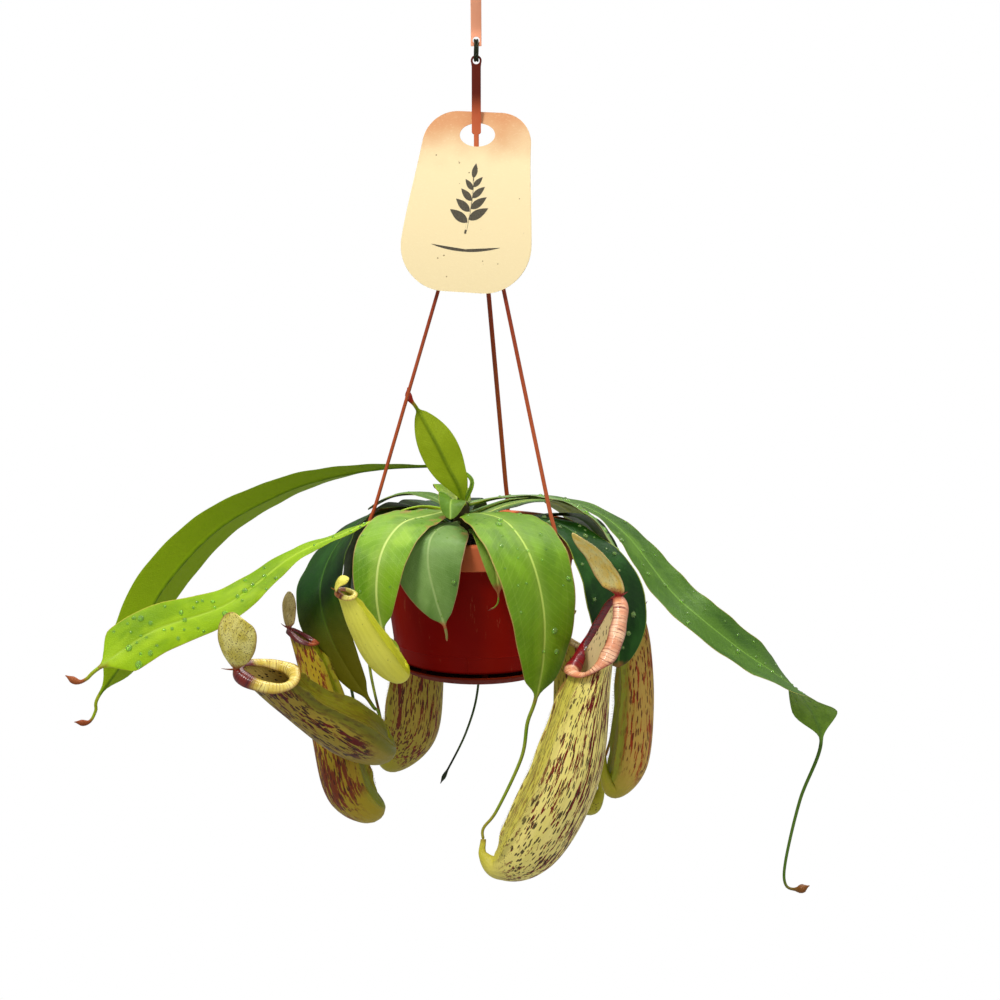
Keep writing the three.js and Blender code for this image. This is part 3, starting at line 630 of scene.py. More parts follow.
@dataclass(frozen=True)
class CupFinish:
    """A pitcher's wall with its dashes, streaks and greener strip between the wings.

    The mesh keeps share (place along from 0 at the foot to 1 at the mouth, turn round from the winged
    side in half turns, 1 on the inner wall) and skin (across, across and along, millimetres).

    Args:
        low: the ground colour at the foot.
        high: the ground colour above.
        strip: between and beside the wings.
        dash: of the short marks.
        streak: of the long marks.
        dashes: how much of the wall the short marks cover, from 0 to 1.
        streaks: how much of the wall the long marks cover, from 0 to 1.
        inside: of the inner wall.
        bare_strip: how free of marks the strip between the wings is, from 0 to 1.
        strip_reach: how far round it reaches, in half turns.
        bare_foot: how far up from the foot the marks are missing, from 0 to 1.
        rough: the roughness.
        seed: moves the marks.
        foot: of the very foot.
    """

    low: str = "#aca426"
    high: str = "#ddcb6e"
    strip: str = "#a8a02a"
    dash: str = "#2c1408"
    streak: str = "#6c0c0a"
    dashes: float = 0.6
    streaks: float = 0.4
    inside: str = "#c9b65c"
    bare_strip: float = 0.75
    strip_reach: float = 0.27
    bare_foot: float = 0.04
    rough: float = 0.42
    seed: float = 0.0
    foot: str = "#8a6a2c"

    def material(self, name: str) -> Material:
        """Builds the material under a name."""
        p = Paint(name, self.seed)
        skin = p.values("skin")
        u, turn, inner = p.split(p.values("share"))
        cloud = p.noise(skin, (0.05, 0.05, 0.03), 3)
        fine = p.noise(skin, (0.7, 0.7, 0.35), 3, 0.6)
        beside = p.plus(p.math("ABSOLUTE", turn), p.times(fine, 0.06))
        strip = p.step(beside, self.strip_reach, self.strip_reach - 0.15)
        rise = p.plus(u, p.times(p.less(cloud, 0.5), 0.3))
        clear = p.less(1.0, p.times(strip, self.bare_strip))
        clear = p.times(clear, p.step(rise, self.bare_foot, self.bare_foot + 0.14))
        # Long ragged streaks where a slow noise lets them gather.
        gather = p.step(p.noise(skin, (0.05, 0.05, 0.018), 1), 0.35, 0.62)
        lines = p.noise(skin, (0.5, 0.5, 0.075), 5, 0.68)
        limit = 0.72 - 0.2 * self.streaks
        streak = p.times(p.step(p.plus(lines, p.times(gather, 0.07)), limit, limit + 0.03), clear)
        # Dashes of many sizes: ragged ovals round scattered points, some of them left out.
        ragged = p.times(p.noise(skin, (1.9, 1.9, 0.6), 3, 0.6), 0.5)
        off = p.plus(p.cells(skin, (0.66, 0.66, 0.19)), ragged)
        reach = p.plus(0.16 + 0.36 * self.dashes, p.times(p.noise(skin, (0.16, 0.16, 0.07), 2), 0.3))
        dash = p.times(p.step(p.less(reach, off), 0.0, 0.05), clear)
        spots = p.step(p.plus(p.cells(skin, (0.34, 0.34, 0.3)), ragged), 0.5, 0.45)
        lining = p.layers(
            self.inside, (p.step(u, 0.9, 0.5), self.low), (p.times(spots, p.step(u, 0.5, 0.8)), self.dash)
        )
        colour = p.layers(
            self.low,
            (p.step(p.plus(u, p.times(cloud, 0.3)), 0.25, 0.75), self.high),
            (p.step(cloud, 0.45, 0.75, 0.45), self.low),
            (p.step(fine, 0.45, 0.8, 0.3), self.high),
            (p.times(strip, 0.85), self.strip),
            (p.times(streak, p.step(u, 0.12, 0.4)), self.streak),
            (p.times(dash, 0.92), self.dash),
            (p.step(inner, 0.4, 0.6), lining),
            (p.step(u, 0.05, 0.0, 0.6), self.foot),
        )
        height = p.plus(p.times(lines, 1.4), p.times(fine, 0.7))
        rough = p.plus(p.step(fine, 0.3, 0.8, 0.15), self.rough)
        return p.finish(colour, rough, Normal=p.bump(height, 0.3), Specular_IOR_Level=0.28)


@dataclass(frozen=True)
class LipFinish:
    """A pitcher's glossy ribbed lip.

    The mesh keeps roll (millimetres round the mouth, place across from -1 inside to 1 outside, how far
    the point lies in the dark stretch).

    Args:
        main: the usual colour.
        light: of the ribs' crests.
        line: of the thin stripes.
        dark: of the dark stretch.
        stripes: how strongly the stripes show.
        seed: moves the stripes.
        darkest: of the dark stretch's patches.
    """

    main: str = "#cfb458"
    light: str = "#e6d58c"
    line: str = "#9b5a26"
    dark: str = "#6d1719"
    stripes: float = 0.7
    seed: float = 0.0
    darkest: str = "#4a060e"

    def material(self, name: str) -> Material:
        """Builds the material under a name."""
        p = Paint(name, self.seed)
        roll = p.values("roll")
        around, across, dark = p.split(roll)
        bands = p.noise(roll, (0.14, 0.3, 0), 2)
        thin = p.noise(roll, (0.5, 0.25, 4), 3, 0.6)
        beat = p.plus(p.times(around, 2 * pi / 2.3), p.times(thin, 11.0))
        lines = p.times(p.step(p.math("SINE", beat), 0.72, 0.97), p.step(bands, 0.3, 0.6))
        colour = p.layers(
            self.main,
            (p.step(bands, 0.35, 0.65), self.light),
            (p.times(lines, self.stripes), self.line),
            (p.step(p.math("ABSOLUTE", across), 0.7, 1.0, 0.7), self.line),
            (dark, p.mix(p.step(thin, 0.4, 0.7), self.dark, self.darkest)),
        )
        rough = p.plus(p.step(bands, 0.3, 0.7, 0.1), 0.24)
        gloss = {"Specular_IOR_Level": 0.5, "Coat_Weight": 0.15, "Coat_Roughness": 0.15}
        return p.finish(colour, rough, Normal=p.bump(thin, 0.12), **gloss)


@dataclass(frozen=True)
class LidFinish:
    """A pitcher's speckled lid, which keeps the same values as a leaf.

    Args:
        main: the usual colour.
        pale: of its lighter patches.
        speck: of its specks.
        base: of its neck.
        specks: how much of it the specks cover, from 0 to 1.
        seed: moves the specks.
    """

    main: str = "#b8a458"
    pale: str = "#d8c98c"
    speck: str = "#5b3420"
    base: str = "#8a3028"
    specks: float = 0.5
    seed: float = 0.0

    def material(self, name: str) -> Material:
        """Builds the material under a name."""
        p = Paint(name, self.seed)
        blade, share = p.values("blade"), p.values("share")
        s, v, _ = p.split(share)
        cloud = p.noise(blade, (0.1, 0.14, 0), 3)
        fine = p.noise(blade, (0.9, 0.9, 2), 3, 0.6)
        limit = 0.68 - 0.16 * self.specks
        colour = p.layers(
            self.main,
            (p.step(cloud, 0.35, 0.65), self.pale),
            (p.step(fine, limit, limit + 0.05, 0.85), self.speck),
            (p.step(p.math("ABSOLUTE", v), 0.86, 1.0, 0.6), self.base),
            (p.step(p.less(s, p.times(fine, 0.1)), 0.14, 0.02), self.base),
        )
        veins = p.noise(blade, (0.12, 0.8, 5), 3)
        height = p.plus(p.times(veins, 1.5), fine)
        return p.finish(colour, 0.5, Normal=p.bump(height, 0.3), Specular_IOR_Level=0.3)


@dataclass(frozen=True)
class PlasticFinish:
    """Moulded plastic, satin, a little uneven in colour and gloss.

    Args:
        main: the usual colour.
        worn: of paler patches and scuffs.
        deep: of darker patches.
        rough: the roughness.
        other: another colour beyond a height, if any; on the pot, the deep red body under the band is partly
            its own darker plastic, partly painted shade.
        change: the heights where that colour is whole and where it ends, millimetres in the plant's frame.
        gloss: how strongly it reflects.
    """

    main: str
    worn: str
    deep: str
    rough: float = 0.38
    other: str | None = None
    change: tuple[float, float] = (0.0, 1.0)
    gloss: float = 0.2

    def material(self, name: str) -> Material:
        """Builds the material under a name."""
        p = Paint(name)
        place = p.places()
        cloud = p.noise(place, (18, 18, 12), 3)
        grain = p.noise(place, (900, 900, 900), 3)
        scuffs = p.noise(place, (260, 260, 40), 4, 0.7)
        colour = p.mix(p.step(cloud, 0.3, 0.7), self.deep, self.main)
        if self.other is not None:
            # Another colour beyond a height; on the pot this is painted shade under the rim and the leaves,
            # over the plastic's own darker tone.
            whole, ends = ((height - RIM_DROP) * MM for height in self.change)
            body = p.mix(p.step(cloud, 0.3, 0.75, 0.06), self.other, self.deep)
            colour = p.mix(p.step(p.split(place)[2], ends, whole), colour, body)
        colour = p.mix(p.step(scuffs, 0.62, 0.74, 0.22), colour, self.worn)
        rough = p.plus(p.step(scuffs, 0.35, 0.75, 0.2), self.rough)
        height = p.plus(p.times(grain, 0.6), p.times(scuffs, 0.4))
        return p.finish(colour, rough, Normal=p.bump(height, 0.05), Specular_IOR_Level=self.gloss)


@dataclass(frozen=True)
class GrainFinish:
    """A rough natural or coated surface with two tones and specks.

    Args:
        main: the usual colour.
        other: of its patches.
        speck: of its specks.
        scale: patches a metre.
        specks: how much of it the specks cover, from 0 to 1.
        rough: the roughness.
        depth: of its relief, millimetres.
    """

    main: str
    other: str
    speck: str
    scale: float
    specks: float = 0.3
    rough: float = 0.8
    depth: float = 0.3

    def material(self, name: str) -> Material:
        """Builds the material under a name."""
        p = Paint(name)
        place = p.places()
        cloud = p.noise(place, (self.scale,) * 3, 4, 0.6)
        fine = p.noise(place, (6 * self.scale,) * 3, 3, 0.6)
        colour = p.mix(p.step(cloud, 0.35, 0.65), self.main, self.other)
        limit = 0.76 - 0.2 * self.specks
        colour = p.mix(p.step(fine, limit, limit + 0.06, 0.8), colour, self.speck)
        dents = p.bump(p.plus(cloud, fine), self.depth)
        return p.finish(colour, self.rough, Normal=dents, Specular_IOR_Level=0.2)


@dataclass(frozen=True)
class CardFinish:
    """Coated card, cream, turning warmer and darker from about the hole up, with fine flecks.

    Args:
        hole: height of the hole's centre, millimetres in the plant's frame.
        main: the usual colour.
        warm: of the card from about the hole up.
        fleck: of the flecks.
    """

    hole: float
    main: str = "#f0ddae"
    warm: str = "#d49464"
    fleck: str = "#7c6440"

    def material(self, name: str) -> Material:
        """Builds the material under a name."""
        p = Paint(name)
        place = p.places()
        cloud = p.noise(place, (38, 38, 38), 2)
        fibre = p.noise(place, (500, 500, 900), 4, 0.65)
        lift = p.plus(p.split(place)[2], p.times(p.less(cloud, 0.5), 0.03))
        # Warmer and darker from about the hole up.
        middle = (self.hole - RIM_DROP) * MM
        colour = p.mix(p.step(lift, middle - 0.024, middle + 0.014, 0.95), self.main, self.warm)
        colour = p.mix(p.step(fibre, 0.5, 0.8, 0.25), colour, "#fff1cc")
        flecks = p.step(p.cells(place, (210, 210, 210)), 0.14, 0.1)
        flecks = p.times(flecks, p.step(p.noise(place, (60, 60, 60), 2), 0.56, 0.6, 0.8))
        colour = p.mix(flecks, colour, self.fleck)
        return p.finish(colour, 0.65, Normal=p.bump(fibre, 0.05), Specular_IOR_Level=0.15)


@dataclass(frozen=True)
class WaterFinish:
    """Clear water in small drops, with the green of the leaf below painted into its colour.

    Args:
        rough: the roughness.
        tint: the colour, in linear numbers, a painted green for the leaf's light seen through the clear
            water.
    """

    rough: float = 0.03
    # Painted green: the leaf's light seen through the drop, as water itself is clear.
    tint: tuple[float, ...] = (0.62, 0.94, 0.28, 1.0)

    def material(self, name: str) -> Material:
        """Builds the material under a name."""
        clear = {"Transmission_Weight": 0.84, "IOR": 1.33, "Specular_IOR_Level": 0.9}
        return Paint(name).finish(self.tint, self.rough, **clear)


# Finished pieces


def shaped(name: str, points: Array, faces: Sequence[Point] = (), edges: Sequence[Point] = ()) -> Mesh:
    """A mesh in the row frame from points in millimetres in the plant's frame.

    Args:
        name: the mesh's name.
        points: a row each.
        faces: the points of each face.
        edges: the points of each line without a face.

    Returns:
        The mesh.
    """
    mesh = bpy.data.meshes.new(name)
    mesh.from_pydata((points * MM - np.array([0, 0, RIM_DROP * MM])).tolist(), edges, faces)
    return mesh


def keep(mesh: Mesh, name: str, values: Array) -> None:
    """Keeps three numbers for each of a mesh's points under a name."""
    kept = mesh.attributes.new(name, "FLOAT_VECTOR", "POINT")
    kept.data.foreach_set("vector", values.astype(np.float32).ravel())


def smoothed(mesh: Mesh, sharp: float | None = None) -> None:
    """Shades a mesh smooth, but for edges that turn more than so many degrees.

    Args:
        mesh: the mesh.
        sharp: how many, or none.
    """
    mesh.polygons.foreach_set("use_smooth", [True] * len(mesh.polygons))
    if sharp is not None:
        mesh.set_sharp_from_angle(angle=radians(sharp))
    mesh.update()


def linked(name: str, data: bpy.types.ID) -> Thing:
    """A new object in the scene for a mesh, a light or a camera."""
    thing = bpy.data.objects.new(name, data)
    bpy.context.scene.collection.objects.link(thing)
    return thing


def piece(
    name: str,
    shell: Shell,
    material: Material,
    nodes: Sequence[str] = (),
    sharp: float | None = None,
) -> Thing:
    """Makes a shell a piece of the object.

    Args:
        name: the piece's name.
        shell: its skin, in millimetres in the plant's frame.
        material: its finish.
        nodes: the frame's nodes that it stands for.
        sharp: edges that turn more than this, in degrees, stay sharp.

    Returns:
        The piece.
    """
    mesh = shaped(name, shell.points, shell.faces)
    for key, values in shell.values.items():
        keep(mesh, key, values)
    mesh.materials.append(material)
    smoothed(mesh, sharp)
    return settled(linked(name, mesh), nodes)


def settled(thing: Thing, nodes: Sequence[str] = ()) -> Thing:
    """Puts an object on the root body, for the nodes it stands for.

    Args:
        thing: the object.
        nodes: the frame's nodes that it stands for.

    Returns:
        The same object.
    """
    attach(thing, "root")
    if nodes:
        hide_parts(*nodes)
    thing.data.calc_loop_triangles()
    LOG.info("piece %-28s %7d triangles", thing.name, len(thing.data.loop_triangles))
    return thing


def cut(thing: Thing, tool: Shell) -> None:
    """Cuts a closed tool shape out of an object, for a hole with clean edges.

    Args:
        thing: what is cut.
        tool: the shape of the hole.
    """
    cutter = linked("tool", shaped("tool", tool.points, tool.faces))
    modifier = thing.modifiers.new("hole", "BOOLEAN")
    modifier.operation = "DIFFERENCE"
    modifier.solver = "EXACT"
    modifier.object = cutter
    thing.data = evaluated(thing)
    thing.modifiers.clear()
    bpy.data.objects.remove(cutter)


def evaluated(thing: Thing) -> Mesh:
    """The plain mesh that an object's modifiers make."""
    graph = bpy.context.evaluated_depsgraph_get()
    return bpy.data.meshes.new_from_object(thing.evaluated_get(graph), depsgraph=graph)


# What repeats, grown by geometry nodes


class Growth(Graph):
    """A geometry node tree that grows small pieces on a mesh.

    Args:
        name: the tree's name.
        sizes: its named inputs, each with its first value.
    """

    def __init__(self, name: str, sizes: dict[str, float | int]) -> None:
        """Makes the tree with its inputs."""
        tree = bpy.data.node_groups.new(name, "GeometryNodeTree")
        tree.interface.new_socket("Geometry", in_out="INPUT", socket_type="NodeSocketGeometry")
        for key, value in sizes.items():
            kind = "NodeSocketInt" if isinstance(value, int) else "NodeSocketFloat"
            tree.interface.new_socket(key, in_out="INPUT", socket_type=kind).default_value = value
        tree.interface.new_socket("Finish", in_out="INPUT", socket_type="NodeSocketMaterial")
        tree.interface.new_socket("Geometry", in_out="OUTPUT", socket_type="NodeSocketGeometry")
        super().__init__(tree)
        self.inputs = self.add("NodeGroupInput").outputs

    def vector(self, x: Feed, y: Feed, z: Feed) -> Socket:
        """A vector from its three parts."""
        return self.out("ShaderNodeCombineXYZ", {0: x, 1: y, 2: z})

    def kept(self, name: str) -> Socket:
        """The three numbers that the mesh keeps under a name."""
        return self.out("GeometryNodeInputNamedAttribute", {"Name": name}, data_type="FLOAT_VECTOR")

    def chance(self, low: Feed, high: Feed, seed: Feed) -> Socket:
        """A random number for each point."""
        feeds = {2: low, 3: high, "Seed": seed}
        return self.add("FunctionNodeRandomValue", feeds, data_type="FLOAT").outputs[1]

    def chances(self, low: float, high: float, seed: Feed) -> Socket:
        """Three random numbers for each point."""
        feeds = {0: (low,) * 3, 1: (high,) * 3, "Seed": seed}
        return self.out("FunctionNodeRandomValue", feeds, data_type="FLOAT_VECTOR")

    def spots(self, **feeds: Feed) -> bpy.types.NodeOutputs:
        """Scatters points over the mesh.

        Args:
            feeds: the node's inputs, with spaces as underscores; a least distance keeps the points apart.

        Returns:
            The node's outputs.
        """
        method = "POISSON" if "Distance_Min" in feeds else "RANDOM"
        fed = {name.replace("_", " "): value for name, value in feeds.items()}
        fed |= {"Mesh": self.inputs["Geometry"], "Seed": self.inputs["Seed"]}
        return self.add("GeometryNodeDistributePointsOnFaces", fed, distribute_method=method).outputs

    def stand(self, points: Socket, shape: Socket, turn: Socket, scale: Socket) -> Tree:
        """Stands a turned and scaled copy of a shape on each point, and ends the tree."""
        feeds = {"Points": points, "Instance": shape, "Rotation": turn, "Scale": scale}
        return self.close(self.out("GeometryNodeInstanceOnPoints", feeds))

    def close(self, instances: Socket) -> Tree:
        """Makes the instances real, smooth and finished, and ends the tree.

        Args:
            instances: what has grown.

        Returns:
            The tree.
        """
        real = self.out("GeometryNodeRealizeInstances", {0: instances})
        smooth = self.out("GeometryNodeSetShadeSmooth", {"Geometry": real})
        feeds = {"Geometry": smooth, "Material": self.inputs["Finish"]}
        done = self.out("GeometryNodeSetMaterial", feeds)
        self.add("NodeGroupOutput", {0: done})
        return self.tree


def grow(tree: Tree, base: Mesh, name: str, sizes: dict[str, object]) -> Thing:
    """Grows small pieces on a mesh.

    Args:
        tree: what grows them.
        base: the mesh that they stand on.
        name: of the new object.
        sizes: the tree's inputs by name.

    Returns:
        The object, a plain mesh.
    """
    thing = linked(name, base)
    modifier = thing.modifiers.new("growth", "NODES")
    modifier.node_group = tree
    for item in tree.interface.items_tree:
        if item.item_type == "SOCKET" and item.in_out == "INPUT" and item.name in sizes:
            modifier[item.identifier] = sizes[item.name]
    grown = evaluated(thing)
    thing.modifiers.clear()
    thing.data = grown
    grown.name = name
    return thing


def drops_tree() -> Tree:
    """Water drops on the upper face of a leaf: flat domes of random size, no two too close."""
    sizes = {"Spacing": 0.004, "Density": 4000.0, "Smallest": 0.0005, "Largest": 0.0016, "Seed": 1}
    g = Growth("water_drops", sizes)
    along, across, face = g.split(g.kept("share"))
    above = g.math("GREATER_THAN", face, 0.5)
    inside = g.math("LESS_THAN", g.math("ABSOLUTE", across), 0.86)
    between = g.times(g.math("GREATER_THAN", along, 0.12), g.math("LESS_THAN", along, 0.93))
    where = g.times(g.times(above, inside), between)
    spots = g.spots(Selection=where, Distance_Min=g.inputs["Spacing"], Density_Max=g.inputs["Density"])
    dome = g.out("GeometryNodeMeshUVSphere", {"Segments": 12, "Rings": 7, "Radius": 1.0})
    rare = g.math("POWER", g.chance(0.0, 1.0, g.inputs["Seed"]), 3.0)
    room = g.less(g.inputs["Largest"], g.inputs["Smallest"])
    size = g.plus(g.inputs["Smallest"], g.times(rare, room))
    scale = g.vector(size, g.times(size, g.chance(0.8, 1.25, 7)), g.times(size, 0.7))
    return g.stand(spots["Points"], dome, spots["Rotation"], scale)


def crumbs_tree() -> Tree:
    """Crumbs of peat and bark on the soil, tumbled and stretched at random."""
    g = Growth("soil_crumbs", {"Density": 60000.0, "Smallest": 0.0004, "Largest": 0.0016, "Seed": 1})
    facing = g.split(g.out("GeometryNodeInputNormal"))[2]
    spots = g.spots(Selection=g.math("GREATER_THAN", facing, 0.3), Density=g.inputs["Density"])
    lump = g.out("GeometryNodeMeshIcoSphere", {"Radius": 1.0, "Subdivisions": 1})
    size = g.chance(g.inputs["Smallest"], g.inputs["Largest"], g.inputs["Seed"])
    scale = g.vector(size, g.times(size, g.chance(0.4, 1.0, 3)), g.times(size, g.chance(0.3, 0.9, 4)))
    return g.stand(spots["Points"], lump, g.chances(0.0, 2 * pi, 5), scale)


def fringe_tree() -> Tree:
    """Fine hairs along a pitcher's wing, one on each point of the base, pointing out."""
    g = Growth("wing_fringe", {"Length": 0.0016, "Width": 0.00022, "Seed": 1})
    sizes = {"Vertices": 5, "Radius Top": 0.15, "Radius Bottom": 1.0, "Depth": 1.0}
    hair = g.out("GeometryNodeMeshCone", sizes)
    lean = g.chances(-0.3, 0.3, g.inputs["Seed"])
    out = g.out("ShaderNodeVectorMath", {0: g.kept("out"), 1: lean}, operation="ADD")
    turn = g.out("FunctionNodeAlignRotationToVector", {"Vector": out}, axis="Z")
    scale = g.vector(g.inputs["Width"], g.inputs["Width"], g.times(g.inputs["Length"], g.chance(0.5, 1.3, 2)))
    return g.stand(g.inputs["Geometry"], hair, turn, scale)


def wire_tree() -> Tree:
    """A round wire along every line of the base."""
    g = Growth("bent_wire", {"Radius": 0.00075, "Sides": 14})
    line = g.out("GeometryNodeMeshToCurve", {0: g.inputs["Geometry"]})
    sizes = {"Resolution": g.inputs["Sides"], "Radius": g.inputs["Radius"]}
    ring = g.out("GeometryNodeCurvePrimitiveCircle", sizes)
    bar = g.out("GeometryNodeCurveToMesh", {"Curve": line, "Profile Curve": ring, "Fill Caps": True})
    return g.close(bar)


# Leaves


BLADE_ACROSS = (0, 0.02, 0.045, 0.08, 0.13, 0.2, 0.29, 0.39, 0.5, 0.61, 0.72, 0.82, 0.9, 0.955, 0.985, 1)


@dataclass(frozen=True)
class Blade:
    """A leaf's or lid's blade with its midrib, and the tendril that the midrib runs on into.

    Args:
        rib: the points of the midrib's line.
        tip: the number of the point where the blade ends.
        width: the greatest width.
        up: about the upper face's direction at the base.
        peak: where along the blade its greatest width lies.
        full: how slowly it widens and narrows.
        twist: its turn about the midrib from base to tip, degrees.
        fold: how much its halves rise, degrees.
        curl: how much its edges roll down.
        wave: height and number of its big ripples.
        stalk: radius of its foot.
        tendril: radius of its tendril.
        bud: how much the tendril's end swells.
        frill: height of the margin's small waves.
        stations: steps along the blade.
        phase: moves the small waves.
    """

    rib: Array
    tip: int
    width: float
    up: Array
    peak: float = 0.55
    full: float = 1.7
    twist: tuple[float, ...] = (0,)
    fold: float = 12
    curl: float = 0.12
    wave: tuple[float, float] = (0, 1)
    stalk: float = 1.8
    tendril: float = 1.3
    bud: float = 0
    frill: float = 0.5
    stations: int = 84
    phase: float = 0.0

    def _spread_of(self, s: Array) -> Array:
        """The blade's share of its greatest width at places along."""
        p, q = self.full * self.peak, self.full * (1 - self.peak)
        return (s**p * (1 - s) ** q) / (self.peak**p * (1 - self.peak) ** q)

    def shell(self) -> Shell:
        """Builds the blade, thin at its margins, with a groove over its midrib and a ridge below it."""
        path = Path(self.rib)
        spans, run = path.lengths()
        end = np.interp(self.tip / (len(self.rib) - 1), spans, run) / run[-1]
        tails = self.tip < len(self.rib) - 1
        steps = np.linspace(0, end, self.stations + 1)
        if tails:
            count = max(12, min(90, int((1 - end) * run[-1] / 1.6)))
            steps = np.concatenate([steps, np.linspace(end, 1, count + 1)[1:]])
        u = path.even(steps)
        points, tangents = path.at(u), path.tangents(u)
        carried = carry(points, tangents, self.up)
        s = np.minimum(steps / end, 1)
        beyond = np.clip((steps - end) / max(1 - end, 1e-9), 0, 1)
        turn = np.radians(spread(self.twist, s))[:, None]
        normals = carried * np.cos(turn) + np.cross(tangents, carried) * np.sin(turn)
        sides = np.cross(tangents, normals)
        round_end = smoothstep(s, 0.93, 1) if tails else 0 * s
        rounding = np.maximum(1 - smoothstep(s, 0, 0.16), round_end)
        left = (1 - beyond) * (1 - end) * run[-1]
        swell = self.bud * (bump_at(left, 5.5, 3.4) + 0.35 * bump_at(left, 8.5, 2.5))
        thin = np.where(s < 0.5, self.stalk, lerp(self.tendril, 0.75 * self.tendril, beyond) + swell)
        if tails:
            thin = thin * np.clip(left / (4.5 if self.bud else 1.5), 0.01, 1) ** 0.6
            radius = thin
        else:
            radius = np.where(s < 0.9, thin, 0.5)
        wide = self.width / 2 * self._spread_of(np.clip(s, 0, 0.9999))
        half = np.maximum(lerp(wide, radius, rounding), 0.3)[:, None]
        columns = np.array([-x for x in BLADE_ACROSS[:0:-1]] + list(BLADE_ACROSS))
        v = columns[None, :]
        way = (steps * run[-1])[:, None]
        flat = 0.34 * np.sqrt(np.clip(1 - v**6, 0, 1)) * (0.6 + 0.4 * (1 - np.abs(v)))
        ball = radius[:, None] * np.sqrt(np.clip(1 - v**2, 0, 1))
        across = v * half
        slim = 1 - 0.6 * s[:, None]
        groove = 0.45 * slim * bump_at(across, 0, 1.0)
        ridge = 0.9 * slim * bump_at(across, 0, 1.3)
        above = lerp(flat - groove, ball, rounding[:, None])
        below = lerp(flat + ridge, ball, rounding[:, None])
        side = np.where(v > 0, 0.0, 2.0)
        high, many = self.wave
        ripple = high * v**2 * np.sin(2 * pi * many * s[:, None] + side) * np.sin(pi * s)[:, None]
        frill = self.frill * v**4 * np.sin(2 * pi * way / 27 + 1.7 * side + self.phase)
        fine = np.sin(2 * pi * way / 11.3 - side + 2.3 * self.phase)
        frill += 0.12 * self.frill * np.abs(v) ** 3 * fine
        beat = 2 * pi * (way - 0.9 * np.abs(across)) / 8.5 + self.phase
        quilt = 0.14 * np.sin(beat) * np.abs(v) * (1 - v**2)
        lift = half * (np.abs(v) * tan(radians(self.fold)) - self.curl * v**2)
        ends = (np.sin(pi * np.clip(s, 0, 1)) ** 0.5)[:, None]
        lift = (1 - rounding[:, None]) * (lift + ripple + ends * (frill + quilt))
        place = points[:, None] + sides[:, None] * across[..., None]
        back = slice(-2, 0, -1)
        rise = np.concatenate([lift + above, (lift - below)[:, back]], axis=1)
        rings = np.concatenate([place, place[:, back]], axis=1) + normals[:, None] * rise[..., None]
        progress = np.where(steps > end, 1 + beyond, s)[:, None]
        upper = np.ones(len(columns))
        upper[0] = upper[-1] = 0.3
        ring_v = np.concatenate([columns, columns[back]])
        ring_face = np.concatenate([upper, -upper[back]])
        share = triples(progress, ring_v[None], ring_face[None])
        ring_across = np.concatenate([across, across[:, back]], axis=1)
        blade = triples(way, ring_across, 0 * way)
        return loft(rings, {"share": share, "blade": blade})


@dataclass(frozen=True)
class Drops:
    """How many drops lie on a leaf and how big they are.

    Args:
        density: the most drops a square metre.
        spacing: the least distance between two, millimetres.
        largest: the radius of the largest, millimetres.
        smallest: the radius of the smallest, millimetres.
    """

    density: float = 2500.0
    spacing: float = 5.0
    largest: float = 1.6
    smallest: float = 0.45


@dataclass(frozen=True)
class Stem:
    """The short woody stem in the soil.

    Args:
        x: its place.
        y: its place.
        radius: its radius.
        foot: its lower end.
        top: its upper end.
    """

    x: float = -11
    y: float = -4
    radius: float = 6
    foot: float = -30
    top: float = 22

    def build(self) -> Thing:
        """Builds the stem with leaf scars round it and a rough top."""
        z, a = np.linspace(self.foot, self.top, 70)[:, None], turns(48)
        scars = 0.35 * np.sin(a * 2 + z * 0.55) + 0.25 * np.sin(a * 5 - z * 0.9) + 0.2 * np.sin(z * 1.9)
        r = (self.radius - 0.4 + 0.5 * scars) * (1 - 0.55 * smoothstep(z, self.top - 7, self.top))
        skin = loft(triples(self.x + r * np.cos(a), self.y + r * np.sin(a), z))
        bark = GrainFinish("#5e5430", "#3f3a22", "#8b8450", 120, 0.5, 0.7, 0.6).material("stem_bark")
        return piece("stem_bark", skin, bark, ["stem"])


STEM = Stem()


